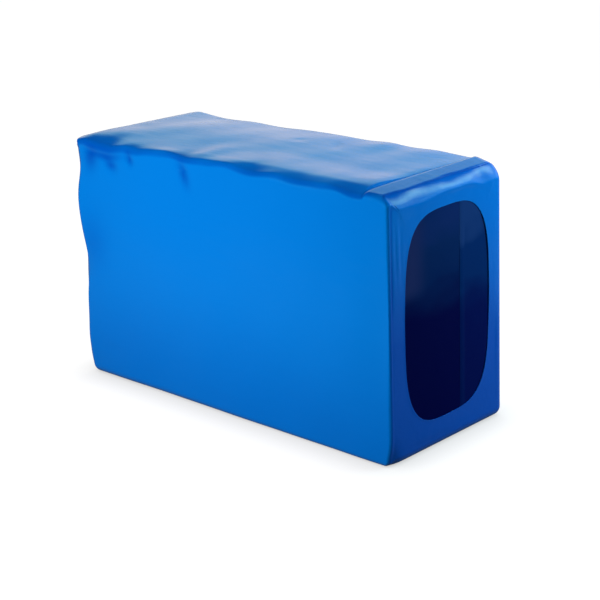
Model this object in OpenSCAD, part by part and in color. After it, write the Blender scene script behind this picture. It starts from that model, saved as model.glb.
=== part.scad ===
/* [Cells] */
// Number of pouch cells standing side by side and joined in series
cell_count = 13; // [8:1:16]
// Thickness of one filled pouch cell
cell_thick = 7.5; // [6:0.1:12]
// Height of one pouch cell, over its two folded side seals
cell_height = 156; // [140:1:220]
// Length of one pouch cell, from its front seal to its tab seal
cell_length = 225; // [150:1:320]
// Rounding of the pouch along its long edges
cell_edge_r = 2.5; // [1.5:0.1:2.9]
// Rounding of the pouch corners seen from the flat side
cell_corner_r = 4; // [2:0.5:7]
// Thickness of the sealed foil flange at each end
seal_t = 0.5; // [0.4:0.1:1]
// Length of the sealed flange on the tab end
tab_seal_flange = 8; // [5:0.5:12]
// Length of the sealed flange on the front end
front_seal_flange = 5; // [3:0.5:10]
// Length over which the pouch swells from its flange to full thickness
shoulder_len = 5; // [3:0.5:10]
// Thickness of a side seal folded against the pouch
fold_t = 0.8; // [0.4:0.1:1.5]
// Thickness of the separator sheet between two cells
separator_t = 0.5; // [0.3:0.1:1.5]

/* [Cell tabs] */
// Width of a metal tab
tab_w = 40; // [30:1:50]
// Thickness of a metal tab
tab_t = 0.4; // [0.2:0.1:0.8]
// Height of each tab's centre above or below the middle of the cell
tab_offset = 38; // [34:1:44]
// Gap between the folded tails of two tabs that share a bar
tail_gap = 1.4; // [0.6:0.1:2.4]
// Length of the sealing strip that shows on a tab
strip_len = 3; // [2:0.5:4.5]
// Thickness of the sealing strip on each side of a tab
strip_t = 0.3; // [0.1:0.1:0.5]
// Overhang of the sealing strip past each edge of a tab
strip_over = 3; // [1:0.5:5]
// Free length of a tab between its cell and the tab board
tab_free = 5; // [5:0.5:10]

/* [Tab board and bars] */
// Thickness of the slotted board that holds the tabs apart
tab_board_t = 2; // [1:0.1:4]
// Play of a tab in its slot, on each side
slot_play = 0.3; // [0.1:0.1:0.8]
// Thickness of a copper bar
bar_t = 1.5; // [1.3:0.1:3]
// Play between a tab and the edge of its bar
bar_play = 0.1; // [0.05:0.05:0.5]
// Overhang of a bar past each edge of its tabs
bar_over = 2; // [1:0.5:4]
// Length of the tongue on a bar that the sense strip lies on
tongue_len = 5; // [3:0.5:7]
// Play between a tab's tail and the strap that leaves its end bar
strap_play = 0.5; // [0.2:0.1:1]
// Height of the strap that leaves each end bar
strap_h = 14; // [10:1:20]

/* [Sense strip] */
// Thickness of the flexible sense strip
strip_film_t = 0.3; // [0.1:0.1:0.4]
// Height of the spine of the sense strip
spine_h = 10; // [6:1:14]
// Width of one finger of the sense strip
finger_w = 4; // [2:0.5:4.5]
// Width of the tail that runs to the management board
strip_tail_w = 26; // [16:1:36]
// Length, height and thickness of the temperature sensor
sensor_size = [3.2, 2.4, 1.2]; // [0.6:0.1:6]

/* [Boards, tape and pads] */
// Thickness of the insulating boards on the four long sides
board_t = 1; // [0.5:0.1:3]
// Distance of the insulating boards from the pack's long edges
board_inset = 9; // [7:0.5:20]
// Distance of the insulating boards from each end of the contents
board_end_gap = 10; // [5:0.5:16]
// Thickness of the filament tape round the stack
tape_t = 0.2; // [0.1:0.05:0.5]
// Width of the filament tape
tape_w = 25; // [12:1:50]
// Distance of each tape from the end of the cells
tape_inset = 45; // [20:1:70]
// Thickness of the foam pad in front of the cells
pad_t = 4; // [2:0.5:8]
// Thickness of the insulating sheet behind the bars
sheet_t = 0.5; // [0.2:0.1:1]
// Play round what passes through the insulating sheet
sheet_play = 0.5; // [0.2:0.1:1.5]
// Thickness of the foam tape that carries the management board
foam_t = 6; // [5:0.5:10]
// Width of the management board's edge that stays clear of the foam
foam_inset = 4; // [2:0.5:8]

/* [End covers] */
// Wall of the front end cap
cap_t = 1.2; // [0.8:0.1:2]
// Depth of the cap's top flange, over the top board
flange_depth = 17; // [12:1:30]
// Thickness of the panel lapped over the front of the cap
lap_t = 0.3; // [0.2:0.1:0.8]
// Sideways place of the lapped panel's free edge
lap_edge_y = 11; // [-20:1:25]
// Thickness of the rear end board
rear_board_t = 1.2; // [0.8:0.1:3]
// Gap between the edge of the rear end board and the film beside it
rear_board_inset = 6; // [4:0.5:9]
// Corner rounding of the rear end board
rear_board_r = 4; // [1:0.5:10]

/* [Shrink sleeve] */
// Wall of the shrunk film
film_t = 0.4; // [0.2:0.05:0.8]
// Rounding of the film's inside where it turns over each end
end_r = 3.2; // [2:0.1:5]
// Extra rounding of the film's inside where it bridges the stack's long edges
corner_slack = 1.4; // [0:0.1:2]
// Film drawn in over each end, at the sides
lip_side = 13.5; // [8:0.5:20]
// Film drawn in over each end, at the top
lip_top = 16.5; // [10:0.5:24]
// Film drawn in over each end, at the bottom
lip_bottom = 15; // [10:0.5:24]
// Squareness of the window left in each end: 2 is an ellipse, more is squarer
window_power = 3.3; // [2.2:0.1:6]

/* [Lead outlet] */
// Bore of the rubber grommet that the leads leave through
outlet_bore_d = 14; // [8:0.5:18]
// Wall of the grommet in its hole
grommet_wall = 2; // [1.5:0.1:3]
// Reach of the grommet's flanges past its hole
grommet_reach = 3; // [1.5:0.1:5]
// Thickness of each grommet flange
grommet_flange_t = 1.5; // [1:0.1:3]
// Chamfer on the rims of the grommet
grommet_chamfer = 0.5; // [0.2:0.1:0.8]
// Gap between the grommet and the rim of the film's window
outlet_gap = 4; // [2:0.5:10]

/* [Management board] */
// Thickness of the circuit board
bms_t = 1.6; // [0.8:0.1:2.4]
// Room for parts between the circuit board and the rear end board
bms_room = 13.5; // [13.5:0.5:25]
// Clear space beside the circuit board, for the straps
bms_side_gap = 12; // [11:0.5:16]
// Clear space above the circuit board
bms_top_gap = 18; // [8:1:30]
// Clear space below the circuit board
bms_bottom_gap = 42; // [30:1:50]
// Spacing of the power transistors
transistor_pitch = 10.4; // [10:0.1:14]
// Length, width and height of a power transistor's body
transistor_size = [10, 9, 4.4]; // [3:0.1:12]
// Length, thickness and spacing of a transistor's legs
leg_size = [3, 0.6, 2.5]; // [0.4:0.1:4]
// Height along the board of the heat sink
sink_h = 22; // [16:1:26]
// Thickness of the heat sink's base
sink_base_t = 2.5; // [1.5:0.1:3]
// Height of the heat sink's fins
fin_h = 5; // [3:0.5:6]
// Thickness of a fin
fin_t = 1.2; // [0.8:0.1:2]
// Spacing of the fins
fin_pitch = 4.5; // [3.5:0.1:8]
// Margin between the board's edge and its outermost parts
part_margin = 3; // [2:0.5:5]
// Length, width and height of a balancing resistor
resistor_size = [6.3, 3.2, 0.7]; // [0.4:0.1:7]
// Spacing of the balancing resistors
resistor_pitch = 5.4; // [4:0.1:6]
// Side length of the larger chip
chip_size = 12; // [8:0.5:14]
// Side length of the smaller chip
small_chip_size = 8; // [5:0.5:12]
// Height of the chips
chip_h = 1.4; // [0.8:0.1:2]
// Span, width and height of a current shunt
shunt_size = [14, 5, 4]; // [3:0.5:16]
// Thickness of a shunt's strip
shunt_t = 0.9; // [0.5:0.1:1.5]
// Number of current shunts
shunt_count = 3; // [1:1:3]
// Radius of a capacitor
capacitor_r = 4; // [2.5:0.5:5]
// Height of a capacitor
capacitor_h = 10; // [6:0.5:12]
// Depth of the socket that takes the sense strip
socket_depth = 4; // [2:0.5:4.5]
// Height of the socket along the board
socket_h = 6; // [4:0.5:10]
// Wall of the socket beside the strip's tail
socket_wall = 3; // [1.5:0.5:5]

/* [Output straps] */
// Height of the output straps above the circuit board
output_lift = 7; // [6.5:0.1:8]
// Length of an output strap's pad
output_pad = 15; // [14:0.5:18]
// Radius of the output screws
screw_r = 2.5; // [2:0.1:3]
// Play of an output screw in its strap
screw_play = 0.15; // [0.05:0.05:0.4]
// Radius of a screw head
screw_head_r = 4.5; // [4:0.1:5.5]
// Height of a screw head
screw_head_h = 3; // [2:0.1:3.5]
// Width across the flats of an output nut
nut_flats = 8; // [7:0.1:9]
// Height of an output nut
nut_h = 4; // [3:0.1:4.5]

/* [Hidden] */
$fn = 64;
eps = 1;
window_points = 96;

// Stack of cells
cell_pitch = cell_thick + separator_t;
stack_t = cell_count * cell_thick + (cell_count - 1) * separator_t;
fold_w = cell_thick - 2 * cell_edge_r;
tail_len = (cell_pitch - tab_t - tail_gap) / 2 - bar_play;

// Contents of the sleeve: width, corner rounding, then levels from the base up
content_w = stack_t + 2 * (tape_t + board_t);
corner_limit = board_t / (sqrt(2) - 1);
content_r = cell_edge_r + tape_t + board_t + min(corner_slack, corner_limit);
base_z = film_t;
stack_z0 = base_z + board_t + tape_t;
stack_z1 = stack_z0 + cell_height;
mid_z = (stack_z0 + stack_z1) / 2;
roof_z = stack_z1 + tape_t + board_t;
cap_z = roof_z + cap_t;

// Stations along the pack, from the front face back to the grommet
rear_zone = tab_free + tab_board_t + bar_t + tab_t + sheet_t + foam_t + bms_t + bms_room + rear_board_t;
content_l = lap_t + cap_t + pad_t + cell_length + rear_zone;
total_l = film_t + content_l + grommet_flange_t;
front_x = total_l / 2;
content_front_x = front_x - film_t;
lap_x = content_front_x - lap_t;
cap_x = lap_x - cap_t;
cells_front_x = cap_x - pad_t;
cells_rear_x = cells_front_x - cell_length;
tab_board_front_x = cells_rear_x - tab_free;
tab_board_rear_x = tab_board_front_x - tab_board_t;
bar_rear_x = tab_board_rear_x - bar_t;
tail_rear_x = bar_rear_x - tab_t;
sheet_rear_x = tail_rear_x - sheet_t;
bms_front_x = sheet_rear_x - foam_t;
bms_rear_x = bms_front_x - bms_t;
rear_board_front_x = bms_rear_x - bms_room;
content_rear_x = rear_board_front_x - rear_board_t;

// Film window
window_z0 = lip_bottom;
window_z1 = cap_z + film_t - lip_top;
window_a = content_w / 2 + film_t - lip_side;
window_b = (window_z1 - window_z0) / 2;
window_z = (window_z0 + window_z1) / 2;

// Lead outlet
neck_r = outlet_bore_d / 2 + grommet_wall;
grommet_r = neck_r + grommet_reach;
outlet_z = window_z0 + outlet_gap + grommet_r;

// Management board
bms_w = stack_t - 2 * bms_side_gap;
bms_h = cell_height - bms_top_gap - bms_bottom_gap;
bms_z = stack_z0 + bms_bottom_gap + bms_h / 2;
sink_u = bms_h / 2 - part_margin - sink_h / 2;
resistor_u = sink_u - sink_h / 2 - part_margin - resistor_size[0] / 2;
chip_u = resistor_u - resistor_size[0] / 2 - part_margin - chip_size / 2;
shunt_u = chip_u - chip_size / 2 - part_margin - shunt_size[0] / 2;
chip_v = chip_size;
capacitor_v = chip_v + chip_size / 2 + part_margin + capacitor_r;
transistor_count = floor((bms_w - 2 * part_margin - transistor_size[1]) / transistor_pitch) + 1;
resistor_count = min(cell_count, floor((bms_w - 2 * part_margin - resistor_size[1]) / resistor_pitch) + 1);
fin_count = floor((bms_w - 2 * part_margin - fin_t) / fin_pitch) + 1;
socket_w = strip_tail_w + 2 * socket_wall;

// Bars: the reach of a bar along its row, the width of an end bar, and the level of each strap
bar_half = tab_w / 2 + bar_over;
end_bar_w = tail_len + strap_play + bar_t;
strap_inset = bar_half - strap_h / 2;
output_x = bms_rear_x - output_lift;

function cell_y(i) = -stack_t / 2 + cell_thick / 2 + (i - 1) * cell_pitch;
function plus_row(i) = i % 2 == 1 ? 1 : -1;
function minus_row(i) = -plus_row(i);
function row_z(row) = mid_z + row * tab_offset;
function strap_z(row) = row_z(row) - row * strap_inset;
function cell_name(i) = str("pouch_cell_", i < 10 ? "0" : "", i);
function signed_power(v, p) = sign(v) * pow(abs(v), p);

foil_colour = [0.78, 0.79, 0.81];
copper_colour = [0.80, 0.50, 0.30];
nickel_colour = [0.75, 0.74, 0.71];
laminate_colour = [0.10, 0.35, 0.22];
fibre_colour = [0.82, 0.79, 0.66];
dark_colour = [0.03, 0.04, 0.12];

CELL_NODES = [for (i = [1:cell_count]) cell_name(i)];

// Rectangle centred on the origin with round corners
module rounded_rect(w, h, r) {
    square([w - 2 * r, h], center = true);
    square([w, h - 2 * r], center = true);
    for (sx = [-1, 1], sy = [-1, 1]) {
        translate([sx * (w / 2 - r), sy * (h / 2 - r)]) circle(r);
    }
}

// Extrusion along the pack from x0 to x1 of an outline drawn in width and height
module along_pack(x0, x1, z) {
    translate([x0, 0, z]) rotate([90, 0, 90]) linear_extrude(x1 - x0) children();
}

// Block between two stations, across the pack, between two levels
module slab(x0, x1, w, z0, z1) {
    translate([x0, -w / 2, z0]) cube([x1 - x0, w, z1 - z0]);
}

// Cylinder along the pack from station x0 to x1
module pin(x0, x1, y, z, r) {
    translate([x0, y, z]) rotate([0, 90, 0]) cylinder(r = r, h = x1 - x0);
}

// Block with every edge round: its front view, plan and side view cut one another
module brick(x0, x1, w, z0, z1, long_edge_r, end_edge_r) {
    l = x1 - x0;
    h = z1 - z0;
    intersection() {
        along_pack(x0, x1, z0 + h / 2) rounded_rect(w, h, long_edge_r);
        translate([x0 + l / 2, 0, z0]) linear_extrude(h) rounded_rect(l, w, end_edge_r);
        translate([x0 + l / 2, w / 2, z0 + h / 2]) rotate([90, 0, 0]) linear_extrude(w)
            rounded_rect(l, h, end_edge_r);
    }
}

// Outer form of what the film is shrunk on, grown by a wall: the long body and the raised front cap
module contents_form(grow) {
    w = content_w + 2 * grow;
    x1 = content_front_x + grow;
    z0 = base_z - grow;
    brick(content_rear_x - grow, x1, w, z0, roof_z + grow, content_r + grow, end_r + grow);
    brick(content_front_x - flange_depth - grow, x1, w, z0, cap_z + grow, content_r + grow, end_r + grow);
}

// Free edge of the film on an end, a superellipse
module window_outline() {
    p = 2 / window_power;
    polygon([for (k = [0:window_points - 1]) let (a = 360 * k / window_points)
        [window_a * signed_power(cos(a), p), window_b * signed_power(sin(a), p)]]);
}

// Section through the stack of cells, with the pouches' round long edges
module stack_section(grow = 0) {
    rounded_rect(stack_t + 2 * grow, cell_height + 2 * grow, cell_edge_r + grow);
}

module shrink_sleeve() {
    color([0.0, 0.42, 0.82]) difference() {
        contents_form(film_t);
        contents_form(0);
        along_pack(content_rear_x - film_t - eps, front_x + eps, window_z) window_outline();
    }
}

module front_end_cap() {
    color(dark_colour) difference() {
        intersection() {
            contents_form(0);
            slab(content_front_x - flange_depth, lap_x, content_w, base_z, cap_z);
        }
        slab(content_front_x - flange_depth - eps, cap_x, content_w + eps, base_z - eps, roof_z);
    }
}

module front_lap_panel() {
    panel_w = content_w / 2 - content_r - lap_edge_y;
    panel_h = cap_z - base_z - 2 * content_r;
    color(dark_colour) translate([lap_x, lap_edge_y, base_z + content_r]) cube([lap_t, panel_w, panel_h]);
}

module rear_end_board() {
    w = content_w - 2 * rear_board_inset;
    h = roof_z - base_z - 2 * rear_board_inset;
    z = (base_z + roof_z) / 2;
    color(dark_colour) difference() {
        along_pack(content_rear_x, rear_board_front_x, z) rounded_rect(w, h, rear_board_r);
        pin(content_rear_x - eps, rear_board_front_x + eps, 0, outlet_z, neck_r);
    }
}

// Grommet turned about the lead axis: two flanges on a neck, with chamfered rims
module lead_grommet() {
    bore_r = outlet_bore_d / 2;
    inner_z = grommet_flange_t + rear_board_t;
    end_z = inner_z + grommet_flange_t;
    c = grommet_chamfer;
    outer_flange = [[bore_r, 0], [grommet_r - c, 0], [grommet_r, c], [grommet_r, grommet_flange_t]];
    neck = [[neck_r, grommet_flange_t], [neck_r, inner_z]];
    inner_flange = [[grommet_r, inner_z], [grommet_r, end_z - c], [grommet_r - c, end_z], [bore_r, end_z]];
    color([0.05, 0.05, 0.05]) translate([-total_l / 2, 0, outlet_z]) rotate([0, 90, 0])
        rotate_extrude() polygon(concat(outer_flange, neck, inner_flange));
}

// Ends of the long boards
board_x0 = content_rear_x + board_end_gap;
board_x1 = content_front_x - board_end_gap;

// Board along the top or bottom, clear of the film's round edges
module flat_board(z) {
    slab(board_x0, board_x1, content_w - 2 * board_inset, z, z + board_t);
}

// Board along one side, clear of the film's round edges
module side_board(y) {
    z0 = base_z + board_inset;
    translate([board_x0, y, z0]) cube([board_x1 - board_x0, board_t, roof_z - board_inset - z0]);
}

module top_board() {
    color(fibre_colour) flat_board(roof_z - board_t);
}

module bottom_board() {
    color(fibre_colour) flat_board(base_z);
}

module left_board() {
    color(fibre_colour) side_board(-content_w / 2);
}

module right_board() {
    color(fibre_colour) side_board(content_w / 2 - board_t);
}

module front_pad() {
    color([0.20, 0.20, 0.21]) along_pack(cells_front_x, cap_x, mid_z) stack_section();
}

// Band of tape drawn round the stack
module stack_tape(x) {
    color([0.85, 0.78, 0.55]) along_pack(x - tape_w / 2, x + tape_w / 2, mid_z) difference() {
        stack_section(tape_t);
        stack_section();
    }
}

module stack_tape_front() {
    stack_tape(cells_front_x - tape_inset);
}

module stack_tape_rear() {
    stack_tape(cells_rear_x + tape_inset);
}

// Pouch seen from above: sealed flange, shoulder, full body, shoulder, sealed flange
module pouch_plan() {
    s = seal_t / 2;
    t = cell_thick / 2;
    front_flange_x = cell_length - front_seal_flange;
    edge = [
        [0, s], [tab_seal_flange, s], [tab_seal_flange + shoulder_len, t],
        [front_flange_x - shoulder_len, t], [front_flange_x, s], [cell_length, s]
    ];
    polygon(concat(edge, [for (k = [len(edge) - 1:-1:0]) [edge[k][0], -edge[k][1]]]));
}

// Pouch seen from its end: round body with a side seal folded flat on its top and bottom
module pouch_section() {
    rounded_rect(cell_thick, cell_height - 2 * fold_t, cell_edge_r);
    square([fold_w, cell_height], center = true);
}

module pouch_cell(i) {
    color(foil_colour) translate([cells_rear_x, cell_y(i), mid_z]) intersection() {
        translate([0, 0, -cell_height / 2]) linear_extrude(cell_height) pouch_plan();
        along_pack(0, cell_length, 0) pouch_section();
        translate([cell_length / 2, cell_thick / 2, 0]) rotate([90, 0, 0]) linear_extrude(cell_thick)
            rounded_rect(cell_length, cell_height, cell_corner_r);
    }
}

module cell_separators() {
    x0 = cells_rear_x + tab_seal_flange + shoulder_len;
    x1 = cells_front_x - front_seal_flange - shoulder_len;
    color([0.93, 0.93, 0.90]) for (i = [1:cell_count - 1]) {
        translate([x0, cell_y(i) + cell_thick / 2, stack_z0]) cube([x1 - x0, separator_t, cell_height]);
    }
}

// Metal tab: straight out of its pouch, through the board, then folded to one side over a bar
module tab(i, row, side) {
    h = tab_t / 2;
    reach = h + bar_play + tail_len;
    translate([0, cell_y(i), row_z(row) - tab_w / 2]) linear_extrude(tab_w) polygon([
        [cells_rear_x, -side * h], [cells_rear_x, side * h], [bar_rear_x, side * h],
        [bar_rear_x, side * reach], [tail_rear_x, side * reach], [tail_rear_x, -side * h]
    ]);
}

// A cell's plus tab folds to the cell before it, and its minus tab to the cell after it
module positive_tabs() {
    color(foil_colour) for (i = [1:cell_count]) {
        tab(i, plus_row(i), i == 1 ? 1 : -1);
    }
}

module negative_tabs() {
    color(nickel_colour) for (i = [1:cell_count]) {
        tab(i, minus_row(i), i == cell_count ? -1 : 1);
    }
}

module tab_sealing_strips() {
    x0 = cells_rear_x - strip_len;
    color([0.25, 0.25, 0.27]) for (i = [1:cell_count], row = [-1, 1]) {
        along_pack(x0, cells_rear_x, row_z(row)) translate([cell_y(i), 0]) difference() {
            square([tab_t + 2 * strip_t, tab_w + 2 * strip_over], center = true);
            square([tab_t, tab_w], center = true);
        }
    }
}

module tab_board() {
    color(laminate_colour) along_pack(tab_board_rear_x, tab_board_front_x, mid_z) difference() {
        stack_section();
        for (i = [1:cell_count], row = [-1, 1]) {
            translate([cell_y(i), row * tab_offset])
                square([tab_t + 2 * slot_play, tab_w + 2 * slot_play], center = true);
        }
    }
}

// Copper bar of one row between two sides, with a tongue towards the middle for the sense strip
module bar(row, y0, y1) {
    tongue_w = min(finger_w, y1 - y0);
    tongue_z = row * (tab_offset - bar_half - tongue_len / 2);
    along_pack(bar_rear_x, tab_board_rear_x, mid_z) translate([(y0 + y1) / 2, 0]) {
        translate([0, row * tab_offset]) square([y1 - y0, 2 * bar_half], center = true);
        translate([0, tongue_z]) square([tongue_w, tongue_len], center = true);
    }
}

// A bar between cells i and i + 1 lies on the row where the minus of one meets the plus of the next
module series_bars() {
    inset = tab_t / 2 + bar_play;
    color(copper_colour) for (i = [1:cell_count - 1]) {
        bar(minus_row(i), cell_y(i) + inset, cell_y(i + 1) - inset);
    }
}

// Side of an end bar that touches its tab, and its far side
plus_y0 = cell_y(1) + tab_t / 2 + bar_play;
plus_y1 = plus_y0 + end_bar_w;
minus_y1 = cell_y(cell_count) - tab_t / 2 - bar_play;
minus_y0 = minus_y1 - end_bar_w;

// Strap that leaves an end bar: back beside the circuit board, then in over it to its pad
module strap(row, y, inward, pad_x, pad_len) {
    outer = y + inward * bar_t;
    translate([0, 0, strap_z(row) - strap_h / 2]) linear_extrude(strap_h) polygon([
        [bar_rear_x, y], [bar_rear_x, outer], [pad_x, outer], [pad_x, y + inward * pad_len],
        [pad_x - bar_t, y + inward * pad_len], [pad_x - bar_t, y]
    ]);
}

// Centre of the screw hole in the plus pad, across the pack
plus_screw_y = plus_y1 - bar_t + output_pad - strap_h / 2;
// Place of the minus output strap on the circuit board, and of its screw
output_strap_u = -bms_h / 2 + part_margin + strap_h / 2;
output_strap_y = plus_screw_y + output_pad + strap_h / 2;
minus_screw_y = output_strap_y + output_pad - strap_h / 2;
plus_screw_z = strap_z(plus_row(1));
minus_screw_z = bms_z + output_strap_u;

module positive_bar() {
    color(copper_colour) {
        bar(plus_row(1), plus_y0, plus_y1);
        difference() {
            strap(plus_row(1), plus_y1 - bar_t, 1, output_x, output_pad);
            pin(output_x - bar_t - eps, output_x + eps, plus_screw_y, plus_screw_z, screw_r + screw_play);
        }
    }
}

module negative_bar() {
    pad_len = bms_side_gap + output_pad - (stack_t / 2 - minus_y0);
    color(copper_colour) {
        bar(minus_row(cell_count), minus_y0, minus_y1);
        strap(minus_row(cell_count), minus_y0 + bar_t, -1, bms_rear_x, pad_len);
    }
}

// Minus output: a foot on the circuit board, a riser and a pad with the screw hole
module output_strap() {
    y0 = output_strap_y;
    color(copper_colour) difference() {
        translate([0, 0, minus_screw_z - strap_h / 2]) linear_extrude(strap_h) polygon([
            [bms_rear_x, y0 - output_pad / 2], [bms_rear_x, y0 + bar_t], [output_x, y0 + bar_t],
            [output_x, y0 + output_pad], [output_x - bar_t, y0 + output_pad], [output_x - bar_t, y0],
            [bms_rear_x - bar_t, y0], [bms_rear_x - bar_t, y0 - output_pad / 2]
        ]);
        pin(output_x - bar_t - eps, output_x + eps, minus_screw_y, minus_screw_z, screw_r + screw_play);
    }
}

// Round-headed screw put in from behind, its end just past the nut
module output_screw(y, z) {
    head_x = output_x - bar_t;
    pin(head_x - screw_head_h, head_x, y, z, screw_head_r);
    pin(head_x, output_x + nut_h + screw_play, y, z, screw_r);
}

module output_nut(y, z) {
    corner_d = nut_flats / cos(30);
    difference() {
        translate([output_x, y, z]) rotate([0, 90, 0]) cylinder(d = corner_d, h = nut_h, $fn = 6);
        pin(output_x - eps, output_x + nut_h + eps, y, z, screw_r);
    }
}

module output_screws() {
    color(nickel_colour) {
        output_screw(plus_screw_y, plus_screw_z);
        output_screw(minus_screw_y, minus_screw_z);
    }
}

module output_nuts() {
    color(nickel_colour) {
        output_nut(plus_screw_y, plus_screw_z);
        output_nut(minus_screw_y, minus_screw_z);
    }
}

// Middle of each bar across the pack, with its row, for the fingers of the sense strip
finger_places = concat(
    [[(plus_y0 + plus_y1) / 2, plus_row(1)]],
    [for (i = [1:cell_count - 1]) [(cell_y(i) + cell_y(i + 1)) / 2, minus_row(i)]],
    [[(minus_y0 + minus_y1) / 2, minus_row(cell_count)]]
);

// Flexible strip: a spine across the pack, a finger to each bar's tongue and a tail to the socket
module sense_strip() {
    finger_end = tab_offset - bar_half;
    finger_w_fit = min(finger_w, end_bar_w);
    color([0.85, 0.55, 0.15]) {
        along_pack(bar_rear_x - strip_film_t, bar_rear_x, mid_z) {
            translate([plus_y0, -spine_h / 2]) square([minus_y1 - plus_y0, spine_h]);
            for (f = finger_places) {
                translate([f[0], f[1] * finger_end / 2]) square([finger_w_fit, finger_end], center = true);
            }
        }
        translate([bms_front_x + socket_depth, -strip_tail_w / 2, mid_z])
            cube([bar_rear_x - bms_front_x - socket_depth, strip_tail_w, strip_film_t]);
    }
}

module temperature_sensor() {
    color([0.10, 0.10, 0.10]) translate([bar_rear_x, -sensor_size[0] / 2, mid_z - sensor_size[1] / 2])
        cube([sensor_size[2], sensor_size[0], sensor_size[1]]);
}

// Opening in the insulating sheet for something of a given width and height
module sheet_opening(y, z, w, h) {
    translate([y, z - mid_z]) square([w + 2 * sheet_play, h + 2 * sheet_play], center = true);
}

module insulating_sheet() {
    color([0.15, 0.45, 0.30]) along_pack(sheet_rear_x, tail_rear_x, mid_z) difference() {
        stack_section();
        sheet_opening(0, mid_z + strip_film_t / 2, strip_tail_w, strip_film_t);
        sheet_opening(plus_y1 - bar_t / 2, plus_screw_z, bar_t, strap_h);
        sheet_opening(minus_y0 + bar_t / 2, strap_z(minus_row(cell_count)), bar_t, strap_h);
    }
}

module board_foam_tape() {
    socket_hole = [socket_w + 2 * sheet_play, socket_h + 2 * sheet_play];
    color([0.90, 0.90, 0.88]) along_pack(bms_front_x, sheet_rear_x, bms_z) difference() {
        square([bms_w - 2 * foam_inset, bms_h - 2 * foam_inset], center = true);
        translate([0, mid_z - bms_z]) square(socket_hole, center = true);
    }
}

module management_board() {
    color(laminate_colour) along_pack(bms_rear_x, bms_front_x, bms_z) square([bms_w, bms_h], center = true);
}

// Place on the circuit board's rear face: u up the board, v across it, height to the rear
module on_board(u, v) {
    translate([bms_rear_x, v, bms_z + u]) rotate([0, -90, 0]) children();
}

// Row of equal parts centred across the circuit board
module board_row(u, count, pitch) {
    for (k = [0:count - 1]) {
        on_board(u, (k - (count - 1) / 2) * pitch) children();
    }
}

// Transistor: a body, and three legs bent down to the board
module transistor() {
    l = transistor_size[0];
    w = transistor_size[1];
    h = transistor_size[2];
    leg_l = leg_size[0];
    leg_t = leg_size[1];
    translate([-l / 2, -w / 2, 0]) cube([l, w, h]);
    leg_outline = [
        [0, h / 2], [0, h / 2 + leg_t], [-leg_l, h / 2 + leg_t],
        [-leg_l, 0], [leg_t - leg_l, 0], [leg_t - leg_l, h / 2]
    ];
    for (k = [-1:1]) {
        leg_v = k * leg_size[2] + leg_t / 2;
        translate([-l / 2, leg_v, 0]) rotate([90, 0, 0]) linear_extrude(leg_t) polygon(leg_outline);
    }
}

module power_transistors() {
    color([0.08, 0.08, 0.09]) board_row(sink_u, transistor_count, transistor_pitch) transistor();
}

// Extruded heat sink: a base on the transistors and a comb of fins
module heat_sink() {
    w = bms_w - 2 * part_margin;
    color([0.70, 0.71, 0.72]) on_board(sink_u - sink_h / 2, 0) translate([0, 0, transistor_size[2]])
        rotate([90, 0, 90]) linear_extrude(sink_h) {
            translate([-w / 2, 0]) square([w, sink_base_t]);
            for (k = [0:fin_count - 1]) {
                fin_y = (k - (fin_count - 1) / 2) * fin_pitch;
                translate([fin_y - fin_t / 2, 0]) square([fin_t, sink_base_t + fin_h]);
            }
        }
}

// Shunt: a strip bent to a bridge between two solder lands
module shunt() {
    l = shunt_size[0];
    w = shunt_size[1];
    h = shunt_size[2];
    translate([-l / 2, w / 2, 0]) rotate([90, 0, 0]) linear_extrude(w) difference() {
        square([l, h]);
        translate([shunt_t, -eps]) square([l - 2 * shunt_t, h - shunt_t + eps]);
    }
}

module current_shunts() {
    color(copper_colour) board_row(shunt_u, shunt_count, shunt_size[1] + part_margin) shunt();
}

module control_chips() {
    color([0.07, 0.07, 0.08]) {
        on_board(chip_u, -chip_v) linear_extrude(chip_h) square(chip_size, center = true);
        on_board(chip_u, chip_v) linear_extrude(chip_h) square(small_chip_size, center = true);
    }
}

module balance_resistors() {
    color([0.12, 0.12, 0.13]) board_row(resistor_u, resistor_count, resistor_pitch)
        translate([0, 0, resistor_size[2] / 2]) cube(resistor_size, center = true);
}

module capacitors() {
    color([0.15, 0.15, 0.30]) for (k = [-1, 1]) {
        on_board(chip_u, k * capacitor_v) cylinder(r = capacitor_r, h = capacitor_h);
    }
}

// Socket on the front face of the circuit board, shut round the end of the sense strip
module sense_socket() {
    color([0.92, 0.90, 0.84]) translate([bms_front_x, -socket_w / 2, mid_z - socket_h / 2])
        cube([socket_depth, socket_w, socket_h]);
}

shrink_sleeve();
front_end_cap();
front_lap_panel();
rear_end_board();
lead_grommet();
top_board();
bottom_board();
left_board();
right_board();
front_pad();
stack_tape_front();
stack_tape_rear();
for (i = [1:cell_count]) {
    pouch_cell(i);
}
cell_separators();
positive_tabs();
negative_tabs();
tab_sealing_strips();
tab_board();
series_bars();
positive_bar();
negative_bar();
sense_strip();
temperature_sensor();
insulating_sheet();
board_foam_tape();
management_board();
power_transistors();
heat_sink();
current_shunts();
control_chips();
balance_resistors();
capacitors();
sense_socket();
output_strap();
output_screws();
output_nuts();
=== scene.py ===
import math

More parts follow.
